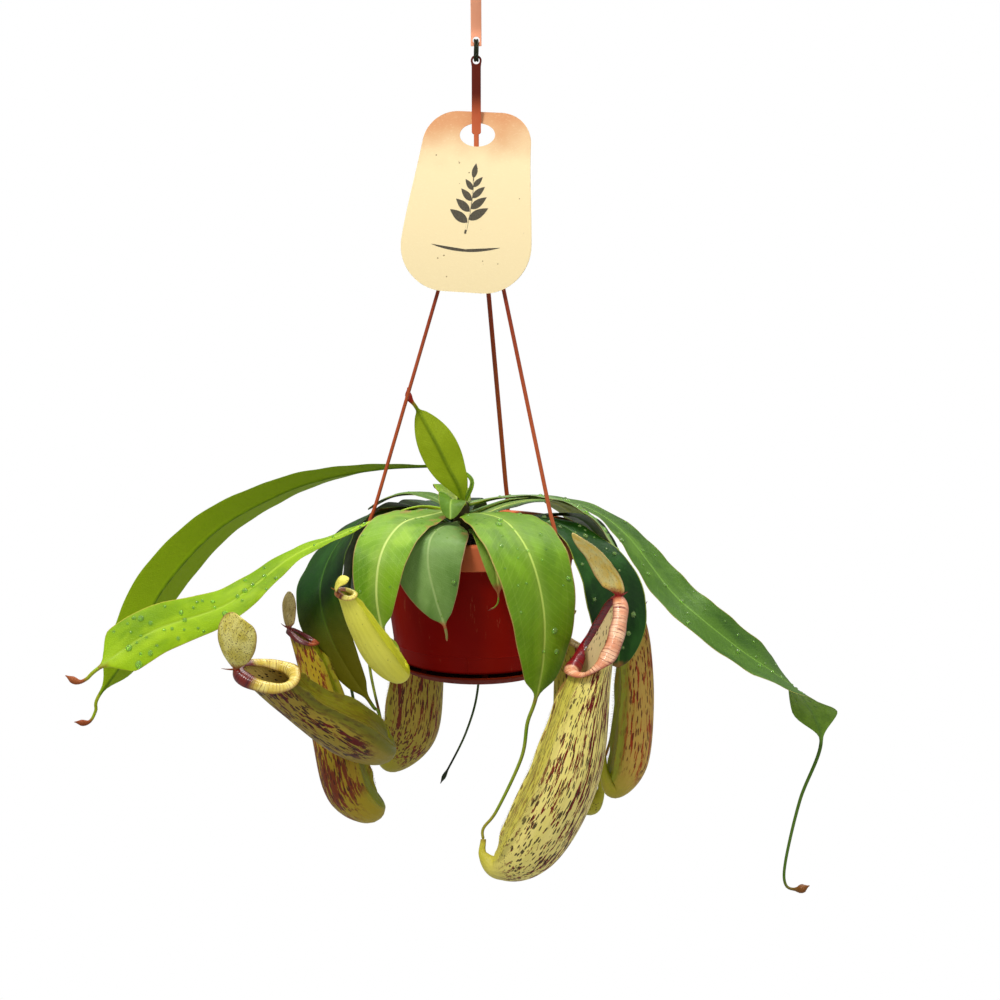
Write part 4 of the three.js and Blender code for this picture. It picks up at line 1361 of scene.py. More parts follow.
@dataclass(frozen=True)
class Leaf:
    """A leaf that springs from the stem.

    Args:
        name: its name.
        slot: its slot, not used.
        finish: its finish.
        azimuth: the direction in which it leaves the stem, degrees.
        height: where it leaves the stem.
        points: what its midrib then follows.
        width: its greatest width.
        tip: the number of the point where the blade ends, the last if none is given.
        carries: the pitcher that its tendril runs on to.
        drops: its water drops.
        form: more of the blade's sizes.
    """

    name: str
    slot: Slot
    finish: LeafFinish
    azimuth: float
    height: float
    points: tuple[Point, ...]
    width: float
    tip: int | None = None
    carries: "Pitcher | None" = None
    drops: Drops | None = None
    form: dict[str, object] = field(default_factory=dict)

    def blade(self) -> Blade:
        """The blade, from just inside the stem's skin to just inside its pitcher's foot."""
        a = radians(self.azimuth)
        out = np.array([cos(a), sin(a), 0])
        base = np.array([STEM.x, STEM.y, self.height]) + out * (STEM.radius + GAP)
        slope = unit(np.array(self.points[0], float) - base) @ out
        base += out * 1.8 * sqrt(max(0, 1 - slope**2)) - out * 1.6
        rib = [base, *np.array(self.points, float)]
        if self.carries is not None:
            foot, after = np.array([p[:3] for p in self.carries.path[:2]], float)
            way = unit(after - foot)
            rib += [foot - way * 7, foot + way * 0.8]
        tip = len(self.points) if self.tip is None else self.tip
        up = np.array([0, 0, 1.0]) - out
        phase = 0.7 * len(self.name) + self.azimuth
        return Blade(np.array(rib), tip, self.width, up, phase=phase, **self.form)

    def build(self, drops: Tree, water: Material) -> None:
        """Builds the leaf and its drops.

        Args:
            drops: the tree that grows the drops.
            water: the drops' finish.
        """
        name = f"leaf_{self.name}"
        paint = replace(self.finish, seed=self.azimuth * 0.37 + self.height).material(name)
        blade = piece(f"{name}_blade", self.blade().shell(), paint, [name])
        if self.drops is None:
            return
        sizes = {
            "Spacing": self.drops.spacing * MM, "Density": self.drops.density, "Seed": int(self.azimuth) + 3,
            "Smallest": self.drops.smallest * MM, "Largest": self.drops.largest * MM, "Finish": water,
        }
        wet = grow(drops, blade.data, f"{name}_drops", sizes)
        if len(wet.data.polygons):
            settled(wet)
        else:
            bpy.data.objects.remove(wet)


# Pitchers


MOUTH = np.array([1.0])  # the mouth's place along a pitcher
WING_TURN = pi / 6  # how far round from the middle of the winged side each wing stands


@dataclass(frozen=True)
class Pitcher:
    """A hollow pitcher: its cup with two wings, the ribbed lip round its mouth and its lid.

    Args:
        name: its name.
        slots: of its cup, lip and lid, not used.
        finishes: of its cup, lip and lid.
        path: from the tendril's end round the foot to the centre of the mouth: x, y, z and radius.
        front: the winged side's direction at the mouth.
        rise: how much higher the mouth stands at its back.
        lean: how far that back leans forward.
        narrow: how much slimmer the mouth is there.
        wings: how far the wings stand out.
        lip: half the lip's width and height.
        lid: the lid's length and width, and the tilts of its neck and tip.
        lid_twist: the lid's turn, degrees.
        lid_peak: where along the lid its greatest width lies.
        dark_at: the turn where the lip's dark stretch lies, degrees from the winged side.
        dark_reach: how far round the dark stretch goes, from 0 to 2.
        spur: length of the spur behind the lid.
        fringe: length of the hairs on the wings.
        detail: share of the usual number of points.
        wall: thickness of the cup's wall.
    """

    name: str
    slots: tuple[Slot, Slot, Slot]
    finishes: tuple[CupFinish, LipFinish, LidFinish]
    path: tuple[Point, ...]
    front: Point
    rise: float
    lid: tuple[float, float, float, float]
    lip: tuple[float, float]
    lean: float = 0
    narrow: float = 0.3
    wings: float = 4
    lid_twist: float = 0
    lid_peak: float = 0.5
    dark_at: float = 180
    dark_reach: float = 0.7
    spur: float = 5
    fringe: float = 1.2
    detail: float = 1.0
    wall: float = 1.3

    def _frame(self, u: Array) -> tuple[Array, Array, Array, Array]:
        """The line's points, its directions, the winged side's directions and the radii at places along.

        Args:
            u: the places, as shares of the spans.

        Returns:
            The four of them, a row for each place.
        """
        rows = np.array(self.path, float)
        line = Path(rows[:, :3])
        fine = np.linspace(0, 1, 161)
        points, tangents = line.at(fine), line.tangents(fine)
        fronts = carry(points[::-1], -tangents[::-1], np.array(self.front, float))[::-1]
        found = np.stack([np.interp(u, fine, fronts[:, k]) for k in range(3)], axis=1)
        radii = Path(rows[:, 3:], clamped=True).at(u)[:, 0]
        ways = line.tangents(u)
        found = unit(found - ways * np.sum(found * ways, axis=1, keepdims=True))
        return line.at(u), ways, found, radii

    def rings(self, u: Array, phi: Array, grow_by: Array | float) -> Array:
        """Points of the cup's wall.

        Args:
            u: places along.
            phi: turns round from the winged side.
            grow_by: how far outside the plain wall, for each point.

        Returns:
            The points by place and turn.
        """
        points, tangents, fronts, radii = self._frame(u)
        sides = np.cross(tangents, fronts)
        top, _ = self._top()
        radius = radii[:, None] + grow_by
        slant = smoothstep(u, 0.5, 1)[:, None]
        back = ((1 - np.cos(phi)) / 2)[None, :] ** 1.5
        forward = radius * np.cos(phi) + slant * self.lean * back
        sideways = radius * (1 - self.narrow * slant * back) * np.sin(phi)
        upward = slant * self.rise * back
        place = points[:, None] + fronts[:, None] * forward[..., None] + sides[:, None] * sideways[..., None]
        return place + top * upward[..., None]

    def _turns(self) -> Array:
        """Turns round the cup from the winged side, closer together at the wings."""
        a = np.linspace(-pi, pi, 2001)
        weight = 1 + 5 * bump_at(np.abs(a), WING_TURN, 0.09)
        run = np.concatenate([[0], np.cumsum((weight[1:] + weight[:-1]) / 2)])
        return np.interp(np.linspace(0, run[-1], int(96 * self.detail), endpoint=False), run, a)

    def _top(self) -> tuple[Array, Array]:
        """The line's direction and the winged side's direction at the mouth."""
        _, ways, fronts, _ = self._frame(MOUTH)
        return ways[0], fronts[0]

    def _fade(self, u: Array) -> Array:
        """The wings' share of their full reach at places along."""
        return (smoothstep(u, 0.3, 0.5) * (1 - smoothstep(u, 0.93, 1)))[:, None]

    def cup(self) -> Shell:
        """The cup, with both faces of its wall, whose edge reaches up into the lip."""
        phi = self._turns()
        top, _ = self._top()
        u = np.linspace(0, 1, int(92 * self.detail) + 1)
        radii, fade = self._frame(u)[3], self._fade(u)
        turn = np.abs(phi)[None, :]
        fin = self.wings * (0.8 * bump_at(turn, WING_TURN, 0.075) + 0.25 * bump_at(turn, WING_TURN, 0.3))
        flutter = 1 + 0.12 * np.sin(40 * u)[:, None] * np.sign(phi)[None, :]
        ribs = 0.16 * np.sin(17 * phi)[None, :] * smoothstep(u, 0.2, 0.5)[:, None]
        lumps = 0.3 * np.sin(9 * u[:, None] + 2 * phi[None, :]) * smoothstep(u, 0.1, 0.3)[:, None]
        outer = self.rings(u, phi, fin * fade * flutter + ribs + lumps * (1 - fade * 0.5))
        hollow = radii > self.wall + 3.5
        inside = u[hollow][::-1]
        inner = self.rings(inside, phi, -self.wall)
        reach = 2 * GAP + self.lip[1] * 1.3
        collar = np.stack([outer[-1] + top * reach * 0.5, outer[-1] + top * reach])
        lining = np.stack([inner[0] + top * reach, inner[0] + top * reach * 0.5])
        rings = np.concatenate([outer, collar, lining, inner])
        rows = np.concatenate([u, [1, 1, 1, 1], inside])
        radius_rows = np.concatenate([radii, [radii[-1]] * 4, radii[hollow][::-1]])
        within = np.concatenate([np.zeros(len(u) + 2), np.ones(2 + len(inside))])
        share = triples(rows[:, None], phi[None] / pi, within[:, None])
        length = Path(np.array(self.path, float)[:, :3]).lengths()[1][-1]
        around = np.stack([np.cos(phi), np.sin(phi)], axis=1)[None] * radius_rows[:, None, None]
        skin = triples(*np.moveaxis(around, 2, 0), (rows * length)[:, None])
        return loft(rings, {"share": share, "skin": skin})

    def lip_shell(self) -> Shell:
        """The lip: an arched band round the mouth, ribbed across, with both edges turned down."""
        wide, high = self.lip
        top, _ = self._top()
        whole = np.linspace(0, 2 * pi, 721)
        run = run_of(self.rings(MOUTH, whole, -self.wall / 2)[0])
        count = int(min(640, run[-1] / 0.3))
        places = np.linspace(0, run[-1], count, endpoint=False)
        phi = np.interp(places, run, whole)
        line = self.rings(MOUTH, phi, -self.wall / 2)[0]
        ways = unit(np.roll(line, -1, axis=0) - np.roll(line, 1, axis=0))
        ups = unit(top - ways * (ways @ top)[:, None])
        outs = np.cross(ways, ups)
        steep = np.sqrt(np.clip(1 - (ups @ top) ** 2, 0, 1))[:, None]
        centre = line + ups * (2 * GAP + high * 1.12 + steep * self.wall / 3)
        a = turns(20)
        x = np.cos(a)
        arch = high * (0.75 - 1.5 * x**2)
        thick = high * 0.5 * np.sin(a)
        crest = np.maximum(np.sin(a), 0) ** 0.5
        rib = 0.13 * high * (np.abs(np.sin(places * pi / 1.25)) - 0.5)[:, None] * crest[None]
        flare = 1 + 0.05 * np.sin(places * 2 * pi / 17)[:, None]
        band = centre[:, None] + outs[:, None] * (wide * x[None] * flare)[..., None]
        rings = band + ups[:, None] * (arch + thick + rib)[..., None]
        lean = np.cos(phi - radians(self.dark_at))
        dark = smoothstep(lean, 1 - self.dark_reach, 1.25 - self.dark_reach)
        roll = triples(places[:, None], x[None], dark[:, None])
        return loft(rings, {"roll": roll}, loop=True)

    def lid_shell(self) -> Shell:
        """The lid on its neck, and the thin spur behind it."""
        length, width, low, high = self.lid
        top, front = self._top()
        start = self.rings(MOUTH, np.array([pi]), -self.wall / 2)[0, 0]
        start = start + top * (3 * GAP + self.lip[1] * 2.3)
        rib = [start]
        for part, turn in ((0.2, 0.0), (0.4, 0.4), (0.4, 1.0)):
            a = radians(lerp(low, high, turn))
            rib.append(rib[-1] + (top * cos(a) + front * sin(a)) * length * part)
        rib[0] = start - top * (self.lip[1] * 1.6)
        form = {"peak": self.lid_peak, "full": 0.95, "fold": -4, "curl": 0.22, "twist": (self.lid_twist,)}
        form |= {"stalk": 1.5, "stations": 60, "frill": 0.35}
        blade = Blade(np.array(rib), 3, width, top - front, **form).shell()
        tail = np.linspace(0, 1, 14)[:, None]
        bend = top * 0.55 - front * 0.85
        line = start - top * 0.4 + self.spur * (tail * bend + 0.35 * tail**2 * top)
        a = turns(10)
        section = 0.75 * np.stack([np.cos(a), np.sin(a)], axis=1)
        spur = swept(line, section, np.cross(top, front), 1.05 - tail[:, 0] * 0.85)
        return joined([blade, spur])

    def wing_base(self) -> Mesh:
        """The points of both wings' crests, each with the direction in which a hair stands out."""
        u = np.linspace(0.42, 0.95, int(110 * self.detail))
        phi = np.array([-WING_TURN, WING_TURN])
        fin = self.wings * self._fade(u)
        crest, foot = (self.rings(u, phi, fin - inset).reshape(-1, 3) for inset in (0.0, 1.0))
        mesh = shaped(f"pitcher_{self.name}_crest", crest)
        keep(mesh, "out", unit(crest - foot))
        return mesh

    def build(self, fringe: Tree, hair: Material) -> None:
        """Builds the cup, the lip, the lid and the wings' hairs.

        Args:
            fringe: the tree that grows the hairs.
            hair: the hairs' finish.
        """
        name = f"pitcher_{self.name}"
        parts = {"cup": self.cup(), "lip": self.lip_shell(), "lid": self.lid_shell()}
        for (part, shell), slot, finish in zip(parts.items(), self.slots, self.finishes):
            piece(f"{name}_{part}_skin", shell, finish.material(f"{name}_{part}"), [f"{name}_{part}"])
        if self.fringe:
            sizes = {"Length": self.fringe * MM, "Width": 0.00014, "Seed": len(self.name), "Finish": hair}
            settled(grow(fringe, self.wing_base(), f"{name}_fringe", sizes))


# Pot, saucer, soil


@dataclass(frozen=True)
class Pot:
    """The tapered pot with its banded rim and the ears that hold the rods, and its saucer.

    Args:
        rim: radius of the banded rim.
        top: radius of the wall below the band.
        bottom: radius at the floor.
        height: from floor to rim.
        band: height of the band.
        wall: thickness of the wall.
        seam: how far below the rim a seam goes round.
        parting: direction of the mould's parting line, degrees.
        segments: steps round.
    """

    rim: float = 73
    top: float = 67.5
    bottom: float = 57.5
    height: float = 92
    band: float = 17.5
    wall: float = 1.6
    seam: float = 80
    parting: float = -96.5
    segments: int = 192

    def build(self, rods: "Hanger") -> None:
        """Builds the pot and the saucer.

        Args:
            rods: the hanger whose rods the ears hold.
        """
        r, t, b, h, w = self.rim, self.top, self.bottom, self.height, self.wall
        band, seam = self.band, self.seam
        seam_r = lerp(b, t, (h - seam) / (h - band))
        outside = [
            (0, -h), (b - 7, -h), (b - 6, -h + 0.8), (b - 5, -h), (b - 1.5, -h), (b, -h + 1.5),
            (seam_r - 0.1, -seam - 0.3), (seam_r + 0.22, -seam), (seam_r - 0.02, -seam + 0.5),
            (t, -band - 0.2), (t + 0.2, -band + 0.6), (r - 0.4, -band), (r, -band + 0.5),
            (r, -band / 2 - 0.4), (r - 0.12, -band / 2), (r, -band / 2 + 0.4), (r, -1.2), (r - 1.1, 0),
            (t - w + 1.2, 0), (t - w, -1.0), (t - w, -band), (b - w, -h + w), (0, -h + w),
        ]
        shells = [turned(filleted(outside, 0.45, 3), self.segments), *map(rods.ear, rods.azimuths)]
        # A short parting line up from the floor, as the mould leaves it.
        z = np.linspace(-h + 1.5, -seam - 0.2, 8)
        radius = lerp(b, t, (z + h) / (h - band))
        c, s = cos(radians(self.parting)), sin(radians(self.parting))
        shells.append(swept(triples(radius * c, radius * s, z), rounded_box(0.9, 0.5, 0.2), (c, s, 0)))
        # Under the band the body is deep red: partly the plastic's own tone, partly painted shade from the
        # rim and the leaves above.
        edge = -band - 0.3
        change = (edge - 0.4, edge + 0.4)
        plastic = PlasticFinish("#d8744a", "#eca078", "#c45c34", 0.42, "#880200", change, 0.06)
        piece("pot_shell", joined(shells), plastic.material("pot_plastic"), ["pot"], 40)
        self._saucer()

    def _saucer(self) -> None:
        """Builds the saucer, with pegs up to the pot's floor."""
        rim, floor, top, base, w = 60.0, 51.0, -93.8, -100.4, 1.4
        dish = [
            (0, base + 0.7), (floor - 8, base + 0.7), (floor - 7, base), (floor, base),
            (floor + 1.6, base + 0.7), (rim - 0.6, top - 1.4), (rim, top - 0.6), (rim - 0.2, top),
            (rim - w, top), (floor - 0.6, base + w), (0, base + w),
        ]
        shells = [turned(filleted(dish, 0.5, 3), self.segments)]
        pegs, reach, around = 6, 46, turns(24)
        heights = np.array([base + w / 2, -self.height - GAP - 0.2, -self.height - GAP + 0.1])[:, None]
        radii = np.array([2.4, 2.0, 1.7])[:, None]
        for i in range(pegs):
            a = 2 * pi * i / pegs - 1.45
            x, y = reach * cos(a) + radii * np.cos(around), reach * sin(a) + radii * np.sin(around)
            shells.append(loft(triples(x, y, heights)))
        plastic = PlasticFinish("#701e08", "#843820", "#561002", 0.5, gloss=0.04)
        piece("saucer_dish", joined(shells), plastic.material("saucer_plastic"), ["saucer"], 40)


@dataclass(frozen=True)
class Soil:
    """The peat in the pot.

    Args:
        radius: at the top.
        level: height of the top.
        depth: how deep the plug goes.
        foot: radius at its foot.
    """

    radius: float = 65.4
    level: float = -9.0
    depth: float = 80.0
    foot: float = 56.0

    def build(self, crumbs: Tree) -> None:
        """Builds the uneven bed and the crumbs on it.

        Args:
            crumbs: the tree that grows the crumbs.
        """
        r = np.concatenate([np.linspace(0.4, self.radius, 46), [self.radius - 0.4, self.foot]])
        x, y = r[:, None] * np.cos(turns(150)), r[:, None] * np.sin(turns(150))
        lumps = 0.9 * np.sin(0.31 * x + 1.3) * np.cos(0.27 * y) + 0.6 * np.sin(0.83 * x - 0.4 * y)
        lumps += 0.4 * np.sin(1.7 * y + 0.9 * x) + 0.3 * np.sin(2.9 * x) * np.sin(2.3 * y + 1)
        z = self.level + lumps * smoothstep(self.radius - r, 0, 6)[:, None]
        z[-2] = self.level - 4
        z[-1] = self.level - self.depth
        peat = GrainFinish("#1d120c", "#2f1f15", "#4c3524", 260, 0.35, 0.92, 1.2).material("soil_peat")
        bark = GrainFinish("#382417", "#1a100b", "#6a4c33", 500, 0.4, 0.9, 0.4).material("soil_crumbs")
        bed = piece("soil_bed", loft(triples(x, y, z)), peat, ["soil"])
        grit = grow(crumbs, bed.data, "soil_crumbs", {"Density": 170000.0, "Seed": 4, "Finish": bark})
        settled(grit)


# Hanger and tag


@dataclass(frozen=True)
class Hanger:
    """The three rods, the neck where they meet, the wire link and the top hook.

    Args:
        foot: distance of a rod's foot from the middle.
        apex: height where the rods' lines meet.
        top: height where they end.
        width: of a rod.
        thick: of a rod.
        azimuths: of the rods, degrees.
        names: of the rods.
        strip: width and thickness of the neck's strip.
        eye: radius of the holes in the strips.
        rods: their finish.
        strips: the neck's finish.
        crook: the top hook's finish, paler than the neck's: partly the plastic's own colour, partly painted
            light from above.
    """

    foot: float = 76.5
    apex: float = 253
    top: float = 243
    width: float = 3.2
    thick: float = 2.4
    azimuths: tuple[float, ...] = (193.5, 313.9, 73.6)
    names: tuple[str, ...] = ("left", "right", "rear")
    strip: tuple[float, float] = (6.2, 1.6)
    eye: float = 2.35
    rods: PlasticFinish = PlasticFinish("#b45830", "#d08458", "#983f1a", 0.34, "#7c2814", (215, 60))
    strips: PlasticFinish = PlasticFinish("#d07048", "#e49870", "#b85430", 0.34, "#5a1808", (298, 280))
    # The hook's pale orange is partly the plastic's own, partly painted light falling on it from above.
    crook: PlasticFinish = PlasticFinish("#ffb490", "#ffccb0", "#f6a078", 0.34)

    def build(self, wire: Tree) -> None:
        """Builds the whole hanger.

        Args:
            wire: the tree that draws a wire.
        """
        dark = self.rods.material("rod_plastic")
        for name, azimuth in zip(self.names, self.azimuths):
            piece(f"rod_{name}_bar", self._rod(azimuth), dark, [f"rod_{name}"], 50)
        self._neck()
        self._hook()
        self._link(wire)

    def ear(self, azimuth: float) -> Shell:
        """An ear outside the pot's rim, a loop that the rod's foot goes through.

        Args:
            azimuth: its direction from the middle, degrees.

        Returns:
            The ear.
        """
        outer = rounded_box(9, 9.6, 1.6, 4)
        inner = rounded_box(self.thick + 1.2, self.width + 1.2, 0.5, 4)
        levels = ((-8.0, -0.5), (-7.4, 0), (-3.5, 0), (-3.0, -0.5))
        loops = [level(outer * (1 + grow_by / 5), z) for z, grow_by in levels]
        loops += [level(inner * (1 - grow_by / 5), z) for z, grow_by in levels[::-1]]
        turn = about_z(radians(azimuth))
        return loft(loops, loop=True).moved(turn, turn @ (self.foot - 0.4, 0, 0))

    def _rod(self, azimuth: float) -> Shell:
        """A rod that leans in above the rim, with the barb below its ear.

        Args:
            azimuth: its direction from the middle, degrees.

        Returns:
            The rod.
        """
        line = [(self.foot, 0, z) for z in (-10.5, -4, 6)]
        line += [((self.foot + 1) * (1 - z / self.apex), 0, z) for z in (20, 60, 120, 180, self.top + 1.6)]
        path = Path(np.array(line, float))
        a = turns(20)
        section = np.stack([self.width / 2 * np.sin(a), self.thick / 2 * np.cos(a)], axis=1)
        section = section * (1 + 0.06 * np.cos(4 * a))[:, None]
        bar = swept(path.at(path.even(np.linspace(0, 1, 90))), section, (1, 0, 0))
        outline = rounded_box(5.0, 5.6, 0.7)
        steps = ((-10.5, 0.62), (-10.2, 0.7), (-8.9, 1.0), (-8.4, 1.0), (-8.3, 0.96))
        barb = loft([level(outline * size + (self.foot, 0), z) for z, size in steps])
        return joined([bar, barb]).moved(about_z(radians(azimuth)), (0, 0, 0))

    def _plate(self, outline: Array, thick: float, bevel: float) -> Shell:
        """An upright plate with bevelled edges, from its outline as seen from the front.

        Args:
            outline: its points, across and up.
            thick: of the plate.
            bevel: of its edges.

        Returns:
            The plate.
        """
        out = unit(outline - outline.mean(0))
        rings = []
        side = thick / 2
        for y, inset in ((-side, bevel), (-side + bevel, 0), (side - bevel, 0), (side, bevel)):
            x, z = (outline - out * inset).T
            rings.append(triples(x, y, z))
        return loft(rings)

    def _hole(self, height: float) -> Shell:
        """The tool that cuts an eye through a strip at a height."""
        x, z = self.eye * np.cos(turns(40)), height + self.eye * np.sin(turns(40))
        return loft([triples(x, y, z) for y in (-9.0, 9.0)])

    def _neck(self) -> None:
        """Builds the knob where the rods meet, its stem and the flat strip with an eye."""
        width, thick = self.strip
        half, head, low, high = width / 2, 3.7, 270.0, 318.5
        a = np.linspace(-0.35, pi + 0.35, 28)
        arch = np.column_stack([head * np.cos(a), high + head * np.sin(a)])
        sides = [(-half, high - 4), (-half, low + 1), (-half + 0.8, low)]
        sides += [(-x, z) for x, z in sides[::-1]]
        boss = [(0, 241.6), (2.6, 241.6), (3.4, 242.4), (3.4, 246.2), (3.0, 247.2), (2.0, 250.2), (0, 250.2)]
        knob = turned(filleted(boss, 0.5, 3), 48)
        outline = rounded_box(3.4, 2.2, 0.7, 4)
        rise = loft([level(outline, z) for z in (249.0, 255.0, 262.0, 270.4)])
        plate = self._plate(np.vstack([arch, sides]), thick, 0.25)
        paint = self.strips.material("neck_plastic")
        thing = piece("hanger_neck_strip", plate, paint, ["hanger_neck"])
        cut(thing, self._hole(high))
        self._add(thing, joined([knob, rise]))

    def _add(self, thing: Thing, shell: Shell) -> None:
        """Adds a shell to an object's own mesh.

        Args:
            thing: the object.
            shell: what it gains.
        """
        whole = bmesh.new()
        for mesh in (thing.data, shaped("extra", shell.points, shell.faces)):
            whole.from_mesh(mesh)
        whole.to_mesh(thing.data)
        whole.free()
        smoothed(thing.data, 35)

    def _hook(self) -> None:
        """Builds the top hook: a strip with an eye that bends into an open crook."""
        width, thick, inner, low, neck = 7.2, 2.2, 12.0, 328.0, 344.0
        middle = inner + thick / 2
        heart = RIM_DROP - inner
        line = [(0, low), (0, neck - 6), (-2.5, neck), (-middle + 2, heart - 12), (-middle, heart - 6)]
        line += [(middle * cos(t), heart + middle * sin(t)) for t in np.linspace(pi, 0, 40)]
        line += [(middle, heart - 5), (middle + 2, heart - 12)]
        bent = filleted(line, 4.0, 5)
        strip = swept(triples(0, bent[:, 0], bent[:, 1]), rounded_box(width, thick, 0.6, 3), (0, 1, 0))
        # Its pale orange is in part painted light from above.
        paint = self.crook.material("hook_plastic")
        thing = piece("hanger_hook_crook", strip, paint, ["hanger_hook"])
        cut(thing, self._hole(low + 3.9))
        smoothed(thing.data, 35)

    def _link(self, wire: Tree) -> None:
        """Builds the doubled wire loop that joins the neck to the hook.

        Args:
            wire: the tree that draws a wire.
        """
        low, high, a = 318.5, 331.9, turns(48)
        half, n = (high - low) / 2, len(a)
        height = low + half + (half + 0.1) * np.sin(a)
        loops = [triples(x + 0.12 * np.sin(3 * a + x), 3.0 * np.cos(a), height) for x in (-0.82, 0.82)]
        edges = [(start + i, start + (i + 1) % n) for start in (0, n) for i in range(n)]
        coat = GrainFinish("#263016", "#161c0e", "#4c5a30", 700, 0.3, 0.45, 0.05).material("link_wire")
        sizes = {"Radius": 0.00078, "Sides": 14, "Finish": coat}
        thing = grow(wire, shaped("link_line", np.vstack(loops), edges=edges), "hanger_link_wire", sizes)
        settled(thing, ["hanger_link"])


@dataclass(frozen=True)
class Tag:
    """The card tag that hangs on the neck and leans on the front rods.

    Args:
        thick: of the card.
        hole: half the hole's width and height.
        centre: the hole's centre.
        yaw: how far the card turns from the viewer.
        lean: its turn in its own plane.
        slopes: how it leans back at its top and its foot.
        top: its upper edge above the hole's centre.
        foot: its lower edge.
        corner: how deep its upper and lower corners are rounded.
        widths: at its top and its foot.
    """

    thick: float = 0.8
    hole: tuple[float, float] = (12.4, 7.8)
    centre: tuple[float, float, float] = (0.7, 0, 269.5)
    yaw: float = -0.25
    lean: float = 0.05
    slopes: tuple[float, float] = (0.31, 0.09)
    top: float = 15.5
    foot: float = -105
    corner: tuple[float, float] = (20, 34)
    widths: tuple[float, float] = (74, 93)

    def _bend(self, z: Array) -> Array:
        """How far the card leans back at heights above the hole's centre."""
        below = np.minimum(0, z + self.hole[1])
        give = (self.slopes[1] - self.slopes[0]) / 2 / (self.foot + self.hole[1])
        return self.slopes[0] * z + give * below**2

    def _placed(self, local: Array) -> Array:
        """Points of the card, across, up and out from the hole's centre, in the plant's frame."""
        facing, up = unit(np.array([self.yaw, -1, 0])), np.array([0, 0, 1.0])
        turn = np.column_stack([np.cross(up, facing), up, facing]) @ about_z(-self.lean)
        return local @ turn.T + np.array(self.centre)

    def _ease(self, share: Array, flat: float) -> Array:
        """Climbs like a quarter circle from a flat start to 1 at a share of 1."""
        return lerp(flat, 1, np.sqrt(np.clip(1 - (1 - np.minimum(1, share)) ** 2, 0, 1)))

    def _card(self) -> Shell:
        """The card without its hole."""
        tall = self.top - self.foot
        quarter = 1 - np.cos(np.linspace(0, pi / 2, 16))
        middle = np.linspace(self.corner[0], tall - self.corner[1], 24)[1:-1]
        down = np.concatenate([self.corner[0] * quarter, middle, tall - self.corner[1] * quarter[::-1]])
        half = lerp(*self.widths, smoothstep(down / tall, 0, 0.9)) / 2
        half = half * self._ease(down / self.corner[0], 0.4) * self._ease((tall - down) / self.corner[1], 0.3)
        columns = np.array([-1, -0.995, *np.linspace(-0.97, 0.97, 27), 0.995, 1])
        x, z = half[:, None] * columns, (self.top - down)[:, None]
        soft = self.thick / 2 * np.where(np.abs(columns) > 0.999, 0.55, 1.0)
        front, back = (triples(x, z, side * soft - self._bend(z)) for side in (1, -1))
        return loft(self._placed(np.concatenate([front, back[:, ::-1]], axis=1)))

    def _mark(self, outline: Array) -> Shell:
        """A thin printed mark on the card's face, from its outline."""
        x, z = outline.T
        depths = (self.thick / 2 - 0.2, self.thick / 2 + 0.07)
        return loft(self._placed(np.array([triples(x, z, depth - self._bend(z)) for depth in depths])))

    def _leaflet(self, root: Array, angle: float, length: float) -> Shell:
        """A leaflet of the sprig, from its root in a direction.

        Args:
            root: where it starts, across and up.
            angle: its direction.
            length: its length.

        Returns:
            The printed mark.
        """
        t = np.linspace(0, 1, 11)
        half = 0.2 * length * np.sin(pi * t**0.8) ** 0.9
        way = np.array([cos(angle), sin(angle)])
        line = root + length * t[:, None] * way
        edge = half[:, None] * np.array([-way[1], way[0]])
        return self._mark(np.vstack([line + edge, (line - edge)[-2:0:-1]]))

    def _sprig(self) -> list[Shell]:
        """A plain printed sprig of leaflets in the middle of the card, over a curved line."""
        stem = np.linspace(0, 1, 15)
        centre = np.column_stack([2.5 * np.sin(2.2 * stem) - 1.0, -66 + 38 * stem])
        across = unit(np.gradient(centre, axis=0))[:, ::-1] * (1, -1) * (0.75 - 0.45 * stem)[:, None]
        marks = [self._mark(np.vstack([centre + across, (centre - across)[::-1]]))]
        for k in range(4):
            for side in (-1, 1):
                t = 0.2 + 0.19 * k + (0.05 if side > 0 else 0)
                root = np.array([np.interp(t, stem, column) for column in centre.T])
                marks.append(self._leaflet(root, radians(90 - side * (58 - 6 * k)), 15.5 - 2.1 * k))
        marks.append(self._leaflet(centre[-1] - (0, 0.8), radians(86), 10))
        arc = np.linspace(-1, 1, 25)
        line = np.column_stack([24 * arc, -74 - 3.5 * (1 - arc**2)])
        thin = np.column_stack([0 * arc, 0.45 * np.sqrt(np.clip(1 - arc**2, 0.02, 1))])
        marks.append(self._mark(np.vstack([line + thin, (line - thin)[::-1]])))
        return marks

    def build(self) -> None:
        """Builds the card with its oval hole, then the printed sprig on it."""
        card = CardFinish(self.centre[2]).material("tag_card")
        thing = piece("tag_card", self._card(), card, ["tag"])
        x, z = self.hole[0] * np.cos(turns(72)), self.hole[1] * np.sin(turns(72))
        cut(thing, loft(self._placed(np.array([triples(x, z, depth) for depth in (-7.0, 7.0)]))))
        smoothed(thing.data, 40)
        ink = GrainFinish("#4b463b", "#5a5446", "#6d6757", 900, 0.3, 0.7, 0.02).material("tag_ink")
        piece("tag_sprig", joined(self._sprig()), ink, (), 40)


# The plant's own leaves and pitchers


